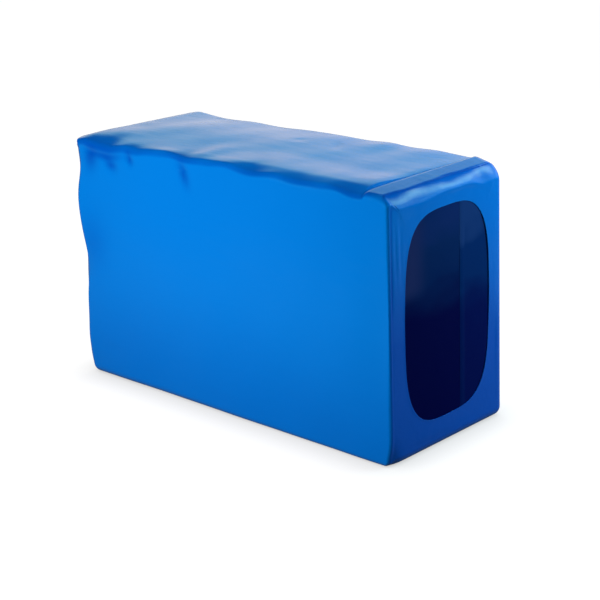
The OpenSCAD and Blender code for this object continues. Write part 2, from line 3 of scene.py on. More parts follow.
import bmesh
import bpy
import numpy as np
from mathutils import Matrix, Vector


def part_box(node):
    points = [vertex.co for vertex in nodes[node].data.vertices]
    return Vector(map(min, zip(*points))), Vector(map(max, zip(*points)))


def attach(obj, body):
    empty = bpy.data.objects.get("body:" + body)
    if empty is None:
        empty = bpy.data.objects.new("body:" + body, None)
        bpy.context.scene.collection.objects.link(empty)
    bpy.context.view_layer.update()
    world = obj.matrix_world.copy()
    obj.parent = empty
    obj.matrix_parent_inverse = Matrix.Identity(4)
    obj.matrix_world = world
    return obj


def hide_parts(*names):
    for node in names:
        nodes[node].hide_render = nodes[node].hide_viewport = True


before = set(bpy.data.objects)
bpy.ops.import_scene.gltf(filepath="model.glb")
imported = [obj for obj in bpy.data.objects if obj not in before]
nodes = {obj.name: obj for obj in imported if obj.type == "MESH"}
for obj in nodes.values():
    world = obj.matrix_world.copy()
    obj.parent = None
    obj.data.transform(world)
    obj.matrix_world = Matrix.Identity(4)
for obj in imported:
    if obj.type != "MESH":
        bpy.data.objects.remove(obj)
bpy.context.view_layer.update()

# Pouch cells
# Flat cells that stand side by side, each a stack of electrodes sealed in aluminium-laminate foil. The foil
# is drawn to shape cold and welded along its edges, and stays satin with faint press marks.


def new_finish(name, roughness, metallic=0.0):
    """New node material. Numbers that hold all over the surface are set on the shader's own sockets."""
    finish = bpy.data.materials.new(name)
    finish.use_nodes = True
    shader = finish.node_tree.nodes["Principled BSDF"]
    shader.inputs["Metallic"].default_value = metallic
    shader.inputs["Roughness"].default_value = roughness
    return finish, finish.node_tree, shader


def object_place(tree, stretch=(1.0, 1.0, 1.0)):
    """Object coordinates in metres, stretched along each axis so that a pattern can run one way."""
    coordinates = tree.nodes.new("ShaderNodeTexCoord")
    mapping = tree.nodes.new("ShaderNodeMapping")
    mapping.inputs["Scale"].default_value = stretch
    tree.links.new(coordinates.outputs["Object"], mapping.inputs["Vector"])
    return mapping.outputs["Vector"]


def clouds(tree, place, per_metre, detail=3.0):
    """Soft noise with a given number of blotches in a metre."""
    noise = tree.nodes.new("ShaderNodeTexNoise")
    noise.inputs["Scale"].default_value = per_metre
    noise.inputs["Detail"].default_value = detail
    tree.links.new(place, noise.inputs["Vector"])
    return noise.outputs[0]


def tint(tree, shader, value, dark, light, low=0.3, high=0.7):
    """Colour from dark to light as the value goes from low to high."""
    ramp = tree.nodes.new("ShaderNodeValToRGB")
    ramp.color_ramp.elements[0].position = low
    ramp.color_ramp.elements[0].color = (*dark, 1.0)
    ramp.color_ramp.elements[1].position = high
    ramp.color_ramp.elements[1].color = (*light, 1.0)
    tree.links.new(value, ramp.inputs["Fac"])
    tree.links.new(ramp.outputs["Color"], shader.inputs["Base Color"])


def rub(tree, shader, value, smooth, rough, low=0.3, high=0.7):
    """Roughness from smooth to rough as the value goes from low to high."""
    spread = tree.nodes.new("ShaderNodeMapRange")
    spread.inputs["From Min"].default_value = low
    spread.inputs["From Max"].default_value = high
    spread.inputs["To Min"].default_value = smooth
    spread.inputs["To Max"].default_value = rough
    tree.links.new(value, spread.inputs["Value"])
    tree.links.new(spread.outputs["Result"], shader.inputs["Roughness"])


def emboss(tree, shader, value, depth):
    """Raised relief of the value, depth in metres."""
    bump = tree.nodes.new("ShaderNodeBump")
    bump.inputs["Strength"].default_value = 1.0
    bump.inputs["Distance"].default_value = depth
    tree.links.new(value, bump.inputs["Height"])
    tree.links.new(bump.outputs["Normal"], shader.inputs["Normal"])


def grained_finish(name, dark, light, per_metre, rough, depth, stretch=(1.0, 1.0, 1.0), metallic=0.0):
    """Finish with one grain that carries its colour, gloss and relief, stretched the way it was worked."""
    finish, tree, shader = new_finish(name, rough[0], metallic)
    grain = clouds(tree, object_place(tree, stretch), per_metre)
    tint(tree, shader, grain, dark, light)
    rub(tree, shader, grain, *rough)
    emboss(tree, shader, grain, depth)
    return finish


def dress(names, finish):
    """Gives CAD nodes a finish, in every material slot that they have."""
    for name in names:
        if not nodes[name].material_slots:
            nodes[name].data.materials.append(finish)
        for slot in nodes[name].material_slots:
            slot.material = finish


dress([name for name in nodes if name.startswith("pouch_cell_")], grained_finish(
    "pouch_foil", (0.44, 0.45, 0.47), (0.72, 0.73, 0.75),
    per_metre=90.0, stretch=(1.0, 3.0, 1.0), rough=(0.28, 0.42), depth=0.0002, metallic=0.85))

# Cell separators
# A soft white fibre sheet between each two cells, cut from a roll, which spreads the pressure and slows heat.
# The cells' pressure holds it.
dress(["cell_separators"], grained_finish(
    "separator_sheet", (0.72, 0.72, 0.67), (0.86, 0.86, 0.82),
    per_metre=700.0, stretch=(1.0, 1.0, 3.0), rough=(0.75, 0.9), depth=0.00006))

# Stack tape
# Two bands of filament tape, wound tight round the stack to hold the cells together. Glass threads run round
# the band under a clear, slightly yellow backing.
tape_thread_spacing = 0.0016
wave_node_turns = 20.0


def stripes(tree, place, per_metre, direction):
    """Even bands across one axis, dark and light ones counted alike. The wave node turns by 20 in a unit."""
    wave = tree.nodes.new("ShaderNodeTexWave")
    wave.bands_direction = direction
    wave.inputs["Scale"].default_value = per_metre / wave_node_turns * math.pi
    tree.links.new(place, wave.inputs["Vector"])
    return wave.outputs["Fac"]


tape, tape_tree, tape_shader = new_finish("filament_tape", roughness=0.35)
tape_threads = stripes(tape_tree, object_place(tape_tree), 1.0 / tape_thread_spacing, "X")
tape_smears = clouds(tape_tree, object_place(tape_tree), per_metre=200.0)
tint(tape_tree, tape_shader, tape_threads, (0.56, 0.47, 0.28), (0.80, 0.74, 0.55), low=0.2, high=0.8)
emboss(tape_tree, tape_shader, tape_threads, depth=0.0001)
rub(tape_tree, tape_shader, tape_smears, smooth=0.25, rough=0.45)
dress(["stack_tape_front", "stack_tape_rear"], tape)

# Tabs and their sealing strips
# One aluminium and one nickel-plated copper tab leave each pouch, rolled strip with lines along its length. A
# dark polymer strip is welded round each tab where it passes the seal.
tab_grain = (6.0, 1.0, 1.0)
dress(["positive_tabs"], grained_finish(
    "tab_aluminium", (0.62, 0.63, 0.65), (0.82, 0.83, 0.84),
    per_metre=260.0, stretch=tab_grain, rough=(0.3, 0.45), depth=0.00003, metallic=1.0))
dress(["negative_tabs"], grained_finish(
    "tab_nickel", (0.50, 0.47, 0.42), (0.71, 0.68, 0.62),
    per_metre=260.0, stretch=tab_grain, rough=(0.25, 0.4), depth=0.00003, metallic=1.0))
dress(["tab_sealing_strips"], grained_finish(
    "sealing_polymer", (0.03, 0.03, 0.035), (0.08, 0.08, 0.09),
    per_metre=500.0, rough=(0.4, 0.6), depth=0.00005))

# Tab board and management board
# Glass-fibre laminate cut by a router and covered with green resist. The cloth in the laminate shows through
# the resist as a fine square weave.
weave_spacing = 0.0012


def blended(tree, operation, first, second, third=None):
    """One step of arithmetic on two or three values, each a socket or a number."""
    step = tree.nodes.new("ShaderNodeMath")
    step.operation = operation
    for place, value in enumerate((first, second, third)):
        if isinstance(value, float):
            step.inputs[place].default_value = value
        elif value is not None:
            tree.links.new(value, step.inputs[place])
    return step.outputs[0]


laminate, laminate_tree, laminate_shader = new_finish("board_laminate", roughness=0.3)
laminate_place = object_place(laminate_tree)
warp = stripes(laminate_tree, laminate_place, 1.0 / weave_spacing, "Y")
weft = stripes(laminate_tree, laminate_place, 1.0 / weave_spacing, "Z")
cloth = blended(laminate_tree, "MULTIPLY", warp, weft)
tint(laminate_tree, laminate_shader, cloth, (0.010, 0.13, 0.055), (0.025, 0.22, 0.10), low=0.0, high=1.0)
emboss(laminate_tree, laminate_shader, cloth, depth=0.00003)
laminate_smears = clouds(laminate_tree, laminate_place, per_metre=150.0)
rub(laminate_tree, laminate_shader, laminate_smears, smooth=0.22, rough=0.38)
dress(["tab_board", "management_board"], laminate)

# Bars, straps and shunts
# Copper strip, sheared and bent cold. The tabs are welded flat on the bars, and the straps carry the current
# on to the management board and the output screws.
dress(["series_bars", "positive_bar", "negative_bar", "output_strap", "current_shunts"], grained_finish(
    "bar_copper", (0.52, 0.20, 0.09), (0.83, 0.44, 0.26),
    per_metre=180.0, stretch=(1.0, 1.0, 4.0), rough=(0.22, 0.45), depth=0.00003, metallic=1.0))

# Sense strip
# A flexible amber film with a copper track to each bar. It is laid across the bars' tongues and plugged into
# the board.
amber, amber_tree, amber_shader = new_finish("amber_film", roughness=0.25)
amber_place = object_place(amber_tree)
tracks = stripes(amber_tree, amber_place, per_metre=520.0, direction="Y")
tint(amber_tree, amber_shader, tracks, (0.55, 0.22, 0.02), (0.76, 0.40, 0.07), low=0.45, high=0.55)
emboss(amber_tree, amber_shader, tracks, depth=0.00003)
rub(amber_tree, amber_shader, clouds(amber_tree, amber_place, per_metre=220.0), smooth=0.18, rough=0.34)
dress(["sense_strip"], amber)

# Insulating sheet
# Green pressed insulating paper behind the bars, cut out where the straps and the sense strip pass. The foam
# tape holds it.
dress(["insulating_sheet"], grained_finish(
    "insulating_paper", (0.055, 0.22, 0.11), (0.12, 0.34, 0.19),
    per_metre=420.0, stretch=(1.0, 2.5, 1.0), rough=(0.6, 0.8), depth=0.00006))

# Foam tape under the management board
# A thick pad of closed-cell foam, sticky on both faces, that carries the circuit board off the insulating
# sheet. It is die-cut round the sense socket and bulges a little where it is pressed.
foam_outline_power, foam_edge_power = 14.0, 5.0
foam_crown = 0.0004
foam_socket_gap = 0.0005
foam_lo, foam_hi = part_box("board_foam_tape")
socket_lo, socket_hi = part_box("sense_socket")


def oval(turn, power):
    """Across and up of a superellipse of half size 1: signed cosine and sine, each raised to 2 / power."""
    across = np.sign(np.cos(turn)) * np.abs(np.cos(turn)) ** (2.0 / power)
    up = np.sign(np.sin(turn)) * np.abs(np.sin(turn)) ** (2.0 / power)
    return across, up


def pad_ring(lo, hi, hole_lo, hole_hi, rows, columns):
    """Ring of foam: each section is a superellipse in depth and in the share of the way from hole to edge."""
    turn = np.linspace(0.0, 2.0 * math.pi, columns, endpoint=False)[None, :]
    round_section = np.linspace(0.0, 2.0 * math.pi, rows, endpoint=False)[:, None]
    outline_across, outline_up = oval(turn, foam_outline_power)
    share, depth = oval(round_section, foam_edge_power)
    share = (1.0 + share) / 2.0
    outer_y = (lo.y + hi.y) / 2.0 + (hi.y - lo.y) / 2.0 * outline_across
    outer_z = (lo.z + hi.z) / 2.0 + (hi.z - lo.z) / 2.0 * outline_up
    inner_y = (hole_lo.y + hole_hi.y) / 2.0 + (hole_hi.y - hole_lo.y) / 2.0 * outline_across
    inner_z = (hole_lo.z + hole_hi.z) / 2.0 + (hole_hi.z - hole_lo.z) / 2.0 * outline_up
    pressed = (hi.x - lo.x) / 2.0 - foam_crown * (2.0 * share - 1.0) ** 2
    x = (lo.x + hi.x) / 2.0 + pressed * depth + 0.0 * turn
    y = inner_y + (outer_y - inner_y) * share
    z = inner_z + (outer_z - inner_z) * share
    return np.stack([x, y, z], axis=-1)


def grid_piece(name, points, ring_rows=False, ring_columns=False):
    """Mesh of quads on a grid of points, closed along its rows or columns where they are rings."""
    rows, columns = points.shape[:2]
    index = np.arange(rows * columns).reshape(rows, columns)
    if ring_rows:
        index = np.concatenate([index, index[:1]], axis=0)
    if ring_columns:
        index = np.concatenate([index, index[:, :1]], axis=1)
    quads = np.stack([index[:-1, :-1], index[1:, :-1], index[1:, 1:], index[:-1, 1:]], axis=-1).reshape(-1, 4)
    mesh = bpy.data.meshes.new(name)
    mesh.from_pydata(points.reshape(-1, 3).tolist(), [], quads.tolist())
    mesh.polygons.foreach_set("use_smooth", np.ones(len(quads), dtype=bool))
    piece = bpy.data.objects.new(name, mesh)
    bpy.context.scene.collection.objects.link(piece)
    return piece


def face_outwards(piece):
    """Merges doubled points of a closed piece and turns its faces outwards."""
    work = bmesh.new()
    work.from_mesh(piece.data)
    bmesh.ops.remove_doubles(work, verts=work.verts, dist=1e-7)
    bmesh.ops.recalc_face_normals(work, faces=work.faces)
    work.to_mesh(piece.data)
    work.free()


def foam_finish(name, middle, wall, per_metre, depth, roughness):
    """Foam of round cells: the distance from each cell's middle carries its colour and its relief."""
    finish, tree, shader = new_finish(name, roughness)
    cells = tree.nodes.new("ShaderNodeTexVoronoi")
    cells.inputs["Scale"].default_value = per_metre
    tree.links.new(object_place(tree), cells.inputs["Vector"])
    tint(tree, shader, cells.outputs["Distance"], middle, wall, low=0.1, high=0.7)
    emboss(tree, shader, cells.outputs["Distance"], depth)
    return finish


foam_hole_lo = socket_lo.copy()
foam_hole_hi = socket_hi.copy()
foam_hole_lo.y -= foam_socket_gap
foam_hole_lo.z -= foam_socket_gap
foam_hole_hi.y += foam_socket_gap
foam_hole_hi.z += foam_socket_gap
foam_points = pad_ring(foam_lo, foam_hi, foam_hole_lo, foam_hole_hi, rows=40, columns=128)
foam_tape = grid_piece("foam_tape_pad", foam_points, ring_rows=True, ring_columns=True)
face_outwards(foam_tape)
foam_tape.data.materials.append(foam_finish(
    "pale_foam", (0.84, 0.84, 0.81), (0.66, 0.66, 0.62), per_metre=1400.0, depth=0.00015, roughness=0.9))
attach(foam_tape, "root")
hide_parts("board_foam_tape")

# Chips, transistors, resistors and the temperature sensor
# Parts moulded in black epoxy with a fine spark-eroded texture. They are soldered to the board or to the
# sense strip.
dress(["power_transistors", "control_chips", "balance_resistors", "temperature_sensor"], grained_finish(
    "black_epoxy", (0.012, 0.012, 0.013), (0.035, 0.035, 0.037),
    per_metre=2600.0, rough=(0.45, 0.6), depth=0.00003))

# Heat sink
# An extruded aluminium comb clamped on the transistors. The die has left fine lines along its fins.
dress(["heat_sink"], grained_finish(
    "sink_aluminium", (0.55, 0.56, 0.58), (0.78, 0.79, 0.80),
    per_metre=500.0, stretch=(1.0, 1.0, 0.08), rough=(0.3, 0.45), depth=0.00003, metallic=1.0))

# Capacitors
# Two aluminium cans in dark blue shrunk sleeves, standing on the board and soldered to it.
dress(["capacitors"], grained_finish(
    "capacitor_can", (0.010, 0.014, 0.06), (0.025, 0.03, 0.11),
    per_metre=300.0, rough=(0.2, 0.35), depth=0.00003))

# Sense socket
# A cream nylon housing, injection moulded and soldered to the front of the board. It takes the sense strip.
dress(["sense_socket"], grained_finish(
    "socket_plastic", (0.70, 0.66, 0.54), (0.80, 0.77, 0.66),
    per_metre=400.0, rough=(0.4, 0.55), depth=0.00004))

# Output screws and nuts
# Zinc-plated steel, cold headed. They clamp the leads' eyes on the straps.
dress(["output_screws", "output_nuts"], grained_finish(
    "screw_steel", (0.42, 0.43, 0.45), (0.68, 0.69, 0.70),
    per_metre=900.0, rough=(0.25, 0.42), depth=0.00002, metallic=1.0))

# Front pad
# A sheet of dark open-cell foam between the cells and the front cover, which takes up the cells' swelling. It
# is cut with a knife, so its edges are soft and its faces crown where nothing presses them.
pad_lo, pad_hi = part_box("front_pad")
pad_outline_power, pad_edge_power = 7.0, 6.0
pad_bend_r, pad_bend_fall = 0.0056, 0.0072


def crowned_pad(lo, hi, rows, columns):
    """Superellipsoid that fills a box, latitude along X, pressed under the quarter circle of the cover."""
    turn = np.linspace(0.0, 2.0 * math.pi, columns, endpoint=False)[None, :]
    latitude = np.linspace(-math.pi / 2.0, math.pi / 2.0, rows)[:, None]
    across, up = oval(turn, pad_outline_power)
    share, depth = oval(latitude, pad_edge_power)
    x = (lo.x + hi.x) / 2.0 + (hi.x - lo.x) / 2.0 * depth + 0.0 * turn
    y = (lo.y + hi.y) / 2.0 + (hi.y - lo.y) / 2.0 * across * share
    z = (lo.z + hi.z) / 2.0 + (hi.z - lo.z) / 2.0 * up * share
    in_bend = np.clip(x - hi.x + pad_bend_r, 0.0, pad_bend_r)
    z = np.minimum(z, hi.z - pad_bend_fall + np.sqrt(pad_bend_r ** 2 - in_bend ** 2))
    return np.stack([x, y, z], axis=-1)


front_pad = grid_piece("front_foam_pad", crowned_pad(pad_lo, pad_hi, rows=41, columns=160), ring_columns=True)
face_outwards(front_pad)
front_pad.data.materials.append(foam_finish(
    "dark_foam", (0.045, 0.045, 0.048), (0.015, 0.015, 0.016), per_metre=900.0, depth=0.0003, roughness=0.95))
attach(front_pad, "root")
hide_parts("front_pad")

# Insulating boards
# Four pale glass-fibre boards on the long sides of the stack, cut from sheet. They keep the film off the
# foil.
fibre, fibre_tree, fibre_shader = new_finish("fibre_board", roughness=0.5)
fibre_place = object_place(fibre_tree)
fibre_threads = stripes(fibre_tree, fibre_place, per_metre=420.0, direction="X")
fibre_cloth = blended(fibre_tree, "MULTIPLY", fibre_threads, clouds(fibre_tree, fibre_place, per_metre=160.0))
tint(fibre_tree, fibre_shader, fibre_cloth, (0.56, 0.52, 0.34), (0.74, 0.70, 0.51), low=0.0, high=0.6)
emboss(fibre_tree, fibre_shader, fibre_cloth, depth=0.00004)
rub(fibre_tree, fibre_shader, fibre_cloth, smooth=0.4, rough=0.6)
dress(["top_board", "bottom_board", "left_board", "right_board"], fibre)

# Front end cap
# A dark blue, nearly black sheet of glossy plastic over the front of the stack, bent back over the top as a
# flange. It was pressed cold, so its face is not quite flat. Its blue is painted paler towards the top, along
# a line that slow clouds bend, and in a patch at the upper near side: a painted reflection.
mm = 0.001
cap_wall, cap_bend_r, cap_corner_r, cap_foot_r = 1.2, 7.0, 24.0, 6.0
cap_side_gap, cap_foot_gap, cap_flange_fall = 4.5, 4.0, 3.2
cap_corner_ease = 0.5
cap_wave, cap_wave_across, cap_wave_up, cap_wave_phase = 0.05, 9.0, 23.0, 0.6
cap_sway, cap_sway_up = 1.7, 31.0
cap_ripple, cap_ripple_up, cap_ripple_across = 0.6, 11.0, 21.0
cap_calm_from, cap_calm_to = 10.0, 24.0
cap_flange_rows, cap_bend_rows, cap_face_rows, cap_columns = 12, 8, 80, 96
# Painted reflection: the sheet's blue goes from deep to paler between these heights, and a paler patch sits
# on the upper near side.
cover_low, cover_high, cover_drift = 0.076, 0.140, 0.060
cover_blues = [
    (0.0, (0.0, 0.0018, 0.052)), (0.3, (0.0002, 0.016, 0.090)),
    (0.8, (0.0025, 0.022, 0.103)), (1.0, (0.0066, 0.026, 0.128)),
]
reflection_patch_blue = (0.016, 0.027, 0.112)
bloom_side_from, bloom_side_to = -0.016, -0.032
bloom_low, bloom_high = 0.092, 0.104


def box_mm(name):
    """Low and high corner of a CAD node's box, in millimetres."""
    low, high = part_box(name)
    return np.array(low) / mm, np.array(high) / mm


def bell(value, centre, width):
    """Smooth bump that is 1 at the centre."""
    return np.exp(-(((value - centre) / width) ** 2))


def ease(value, low, high):
    """Smooth step from 0 at low to 1 at high."""
    share = np.clip((value - low) / (high - low), 0.0, 1.0)
    return share * share * (3.0 - 2.0 * share)


def round_end(height, corner_level, radius):
    """How far a round corner of a given radius has come in at a height past the level where it starts."""
    lift = np.clip((height - corner_level) / radius, 0.0, 1.0)
    return radius * (1.0 - np.sqrt(1.0 - lift * lift))


def bent_cap(lo, hi):
    """Sheet carried along an L: back flange, bend and face, with round top and bottom corners on the face.
    The face waves by a sine across, which sways with height, times one in height, and a slanted ripple."""
    flange = np.linspace(lo[0], hi[0] - cap_bend_r, cap_flange_rows)
    turn = np.linspace(0.0, math.pi / 2.0, cap_bend_rows)[1:]
    fall = np.linspace(hi[2] - cap_flange_fall - cap_bend_r, lo[2] + cap_foot_gap, cap_face_rows)[1:]
    level = hi[2] - cap_flange_fall * (flange - lo[0]) / (hi[0] - cap_bend_r - lo[0])
    x = np.concatenate([flange, hi[0] - cap_bend_r * (1.0 - np.sin(turn)), np.full(fall.shape, hi[0])])
    z = np.concatenate([level, hi[2] - cap_flange_fall - cap_bend_r * (1.0 - np.cos(turn)), fall])
    top_cut = round_end(z, hi[2] - cap_corner_r, cap_corner_r + cap_corner_ease)
    foot_cut = round_end(-z, -lo[2] - cap_foot_gap - cap_foot_r, cap_foot_r + cap_corner_ease)
    half = (hi[1] - cap_side_gap - top_cut - foot_cut)[:, None]
    y = np.linspace(-1.0, 1.0, cap_columns)[None, :] * half
    height = z[:, None] + 0.0 * y
    wave = np.sin(y / cap_wave_across + cap_sway * np.sin(height / cap_sway_up))
    wave *= np.sin(height / cap_wave_up + cap_wave_phase)
    wave += cap_ripple * np.sin(height / cap_ripple_up + y / cap_ripple_across)
    depth = x[:, None] + cap_wave * wave * ease(hi[2] - height, cap_calm_from, cap_calm_to)
    return np.stack([depth, y, height], axis=-1) * mm


def thicken(piece, wall):
    """Wall of a given thickness behind the modelled face."""
    solid = piece.modifiers.new("wall", "SOLIDIFY")
    solid.thickness = wall
    solid.offset = -1.0


def smooth_share(tree, value, low, high):
    """Share that goes smoothly from 0 at a low value to 1 at a high one."""
    share = tree.nodes.new("ShaderNodeMapRange")
    share.interpolation_type = "SMOOTHSTEP"
    share.inputs["From Min"].default_value = low
    share.inputs["From Max"].default_value = high
    tree.links.new(value, share.inputs["Value"])
    return share.outputs["Result"]


def deepened(tree, value, stops):
    """Colour through several stops, each a place from 0 to 1 and a colour."""
    ramp = tree.nodes.new("ShaderNodeValToRGB")
    ramp.color_ramp.elements[0].color = (*stops[0][1], 1.0)
    ramp.color_ramp.elements[1].color = (*stops[-1][1], 1.0)
    for place, colour in stops[1:-1]:
        ramp.color_ramp.elements.new(place).color = (*colour, 1.0)
    tree.links.new(value, ramp.inputs["Fac"])
    return ramp.outputs["Color"]


def mixed(tree, share, first, second):
    """Colour from the first to the second, each a socket or a colour, as the share goes from 0 to 1."""
    mix = tree.nodes.new("ShaderNodeMix")
    mix.data_type = "RGBA"
    tree.links.new(share, mix.inputs["Factor"])
    for name, colour in (("A", first), ("B", second)):
        if isinstance(colour, tuple):
            mix.inputs[name].default_value = (*colour, 1.0)
        else:
            tree.links.new(colour, mix.inputs[name])
    return mix.outputs["Result"]


def cover_finish(name, lower):
    """Glossy dark sheet, with its axes and its share of height, which slow clouds bend. The share sets a
    painted reflection: the blue is painted paler towards the top."""
    finish, tree, shader = new_finish(name, roughness=0.12)
    shader.inputs["IOR"].default_value = 1.1
    shader.inputs["Specular Tint"].default_value = (0.0, 0.25, 0.80, 1.0)
    place = object_place(tree)
    axes = tree.nodes.new("ShaderNodeSeparateXYZ")
    tree.links.new(place, axes.inputs["Vector"])
    drift = clouds(tree, object_place(tree, (1.0, 0.7, 1.3)), per_metre=24.0, detail=2.0)
    level = blended(tree, "MULTIPLY_ADD", drift, cover_drift, axes.outputs["Z"])
    low, high = cover_low + cover_drift / 2.0 - lower, cover_high + cover_drift / 2.0 - lower
    rub(tree, shader, clouds(tree, place, per_metre=60.0), smooth=0.08, rough=0.2)
    emboss(tree, shader, clouds(tree, place, per_metre=70.0, detail=1.0), depth=0.0002)
    return finish, tree, shader, axes, smooth_share(tree, level, low, high)


cap = grid_piece("end_cap_sheet", bent_cap(*box_mm("front_end_cap")))
thicken(cap, cap_wall * mm)
cover, cover_tree, cover_shader, cover_axes, cover_painted_reflection = cover_finish("end_cover", lower=0.0)
# Painted reflection: a paler patch of blue on the upper near side.
bloom_side = smooth_share(cover_tree, cover_axes.outputs["Y"], bloom_side_from, bloom_side_to)
bloom_level = smooth_share(cover_tree, cover_axes.outputs["Z"], bloom_low, bloom_high)
reflection_patch = blended(cover_tree, "MULTIPLY", bloom_side, bloom_level)
cover_colour = mixed(cover_tree, reflection_patch, deepened(cover_tree, cover_painted_reflection, cover_blues), reflection_patch_blue)
cover_tree.links.new(cover_colour, cover_shader.inputs["Base Color"])
cap.data.materials.append(cover)
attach(cap, "root")
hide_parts("front_end_cap")

# Front lap panel
# The same sheet lapped over the right part of the cap and stuck down. Its free edge is hemmed in a narrow
# strip, which stands a little proud and looks bluer than the rest.
lap_lo, lap_hi = box_mm("front_lap_panel")
lap_wall = 0.1
lap_foot_gap, lap_top_gap, lap_side_gap = 4.0, 9.0, 4.5
lap_rise, lap_rise_width, lap_wave = 0.12, 2.0, 0.4
lap_waves = [(0.06, 13.0, 17.0, 0.0), (0.05, 7.5, -9.0, 1.0)]
# Painted reflection on the lap, as on the cap: its blue is painted paler towards the top.
lap_lower = 0.006
lap_blues = [
    (0.0, (0.0, 0.0050, 0.076)), (0.35, (0.0, 0.0225, 0.120)),
    (0.9, (0.001, 0.0245, 0.126)), (1.0, (0.010, 0.042, 0.165)),
]
hem_width, hem_edge, hem_rise, hem_pale = 4.2, 1.2, 0.06, 0.08


def waves(along, across, rows):
    """Sum of slanted sine waves: height, length along and length across, both over 2 pi, and phase."""
    return sum(height * np.sin(along / long + across / wide + phase) for height, long, wide, phase in rows)


def lapped_panel(lo, hi, rows, columns):
    """Flat panel in width and height; a hem along its free edge stands proud, and the rest waves slightly."""
    y = np.linspace(lo[1], hi[1] - lap_side_gap, columns)
    y = np.insert(y, 1, lo[1] + lap_wall / 4.0)[None, :]
    z = np.linspace(lo[2] + lap_foot_gap, hi[2] - lap_top_gap, rows)[:, None]
    hem = 1.0 - ease(y, lo[1] + hem_width - hem_edge, lo[1] + hem_width + hem_edge)
    rise = lap_rise + hem_rise * hem + lap_wave * waves(z, y, lap_waves)
    x = lo[0] + lap_wall + ease(y, lo[1], lo[1] + lap_rise_width) * rise
    return np.stack([x, y + 0.0 * z, z + 0.0 * y], axis=-1) * mm


panel = grid_piece("end_lap_panel", lapped_panel(lap_lo, lap_hi, rows=120, columns=64)[::-1])
thicken(panel, lap_wall * mm)
lap_cover, lap_tree, lap_shader, lap_axes, lap_painted_reflection = cover_finish("lap_cover", lap_lower)
hem_from, hem_to = lap_lo[1] + hem_width + hem_edge, lap_lo[1] + hem_width - hem_edge
hem_share = smooth_share(lap_tree, lap_axes.outputs["Y"], hem_from * mm, hem_to * mm)
lap_pale = blended(lap_tree, "MULTIPLY_ADD", hem_share, hem_pale, lap_painted_reflection)
lap_tree.links.new(deepened(lap_tree, lap_pale, lap_blues), lap_shader.inputs["Base Color"])
panel.data.materials.append(lap_cover)
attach(panel, "root")
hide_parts("front_lap_panel")

# Rear end board
# A flat board of the same dark sheet behind the circuit board. It is punched for the lead outlet and held by
# the film.
# It takes the cap's finish, whose blue is painted paler towards the top and in a patch at the upper near
# side, a painted reflection.
dress(["rear_end_board"], cover)

# Lead grommet
# A black rubber ring, moulded with two flanges and snapped into the rear board's hole. The leads pass through
# it.
grommet_bore_r, grommet_neck_r = 7.0, 9.0
grommet_flange, grommet_board, grommet_lip = 1.5, 1.2, 0.6
grommet_bevel, grommet_bevel_depth, grommet_lip_rows = 0.1, 0.2, 6


def turned_ring(lo, hi, columns):
    """Profile of two round-lipped flanges on a neck, turned about the lead axis along X."""
    outer_r = (hi[2] - lo[2]) / 2.0
    centre_z = (hi[2] + lo[2]) / 2.0
    quarter = np.linspace(0.0, math.pi / 2.0, grommet_lip_rows)
    lip_out = grommet_lip * np.sin(quarter)
    lip_in = grommet_lip * (1.0 - np.cos(quarter))
    neck_rear, neck_front = grommet_flange, grommet_flange + grommet_board
    length = hi[0] - lo[0]
    bevel_r = outer_r - grommet_bevel
    radius = np.concatenate([
        grommet_bore_r + lip_in, outer_r - grommet_lip + lip_out,
        [outer_r, bevel_r, grommet_neck_r, grommet_neck_r, bevel_r, outer_r],
        outer_r - grommet_lip + lip_out[::-1], grommet_bore_r + grommet_lip - lip_out,
    ])
    along = np.concatenate([
        grommet_lip - lip_out, lip_in,
        [neck_rear - grommet_bevel_depth, neck_rear, neck_rear],
        [neck_front, neck_front, neck_front + grommet_bevel_depth],
        length - lip_in[::-1], length - lip_in,
    ])
    turn = np.linspace(0.0, 2.0 * math.pi, columns, endpoint=False)[None, :]
    x = lo[0] + along[:, None] + 0.0 * turn
    y = radius[:, None] * np.cos(turn)
    z = centre_z + radius[:, None] * np.sin(turn)
    return np.stack([x, y, z], axis=-1) * mm


grommet_points = turned_ring(*box_mm("lead_grommet"), columns=72)
grommet = grid_piece("lead_grommet_ring", grommet_points, ring_rows=True, ring_columns=True)
face_outwards(grommet)
grommet.data.materials.append(grained_finish(
    "grommet_rubber", (0.010, 0.010, 0.011), (0.028, 0.028, 0.030),
    per_metre=1200.0, rough=(0.5, 0.68), depth=0.00005))
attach(grommet, "root")
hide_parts("lead_grommet")

# Shrink sleeve
# A tube of blue film pulled over the brick and shrunk with hot air. Its ends draw in over the end covers and
# leave an oval window. It is glossy, swells softly on the flats, and gathers in rolls and folds at the edges.
film_wall = 0.4
film_lo, film_hi = box_mm("shrink_sleeve")
film_front, film_rear = film_hi[0], film_lo[0]
film_half, film_top = film_hi[1], film_hi[2]
# The film's own blue, and the deeper blue that stands for painted shade.
film_blue_painted_shade, film_blue = (0.0, 0.085, 0.490), (0.0, 0.198, 0.705)
film_waver, film_grain_share = 0.10, 0.12
top_steps, side_steps, corner_steps, edge_crowding = 44, 60, 9, 0.6
lip_rows, rear_lip_rows, turn_rows, band_rows, fold_rows, body_rows = 20, 12, 18, 9, 12, 92

# Band over the cap's flange, roof behind it, and window.
band_rise, band_fall, band_back = 1.2, 2.0, film_front - 17.4
band_fall_gap = 2.0
fold_front, fold_back = band_back + 3.0, band_back - 3.6
step_back, step_front = band_back - 1.2, band_back + 1.0
film_roof = film_top - band_rise
film_mid = film_roof / 2.0
rear_droop, rear_droop_from = 2.6, 118.0
window_y, window_half, window_power = -0.8, 39.0, 3.4
window_high, window_low_front, window_low_rear = film_top - 16.5, 18.2, 15.0

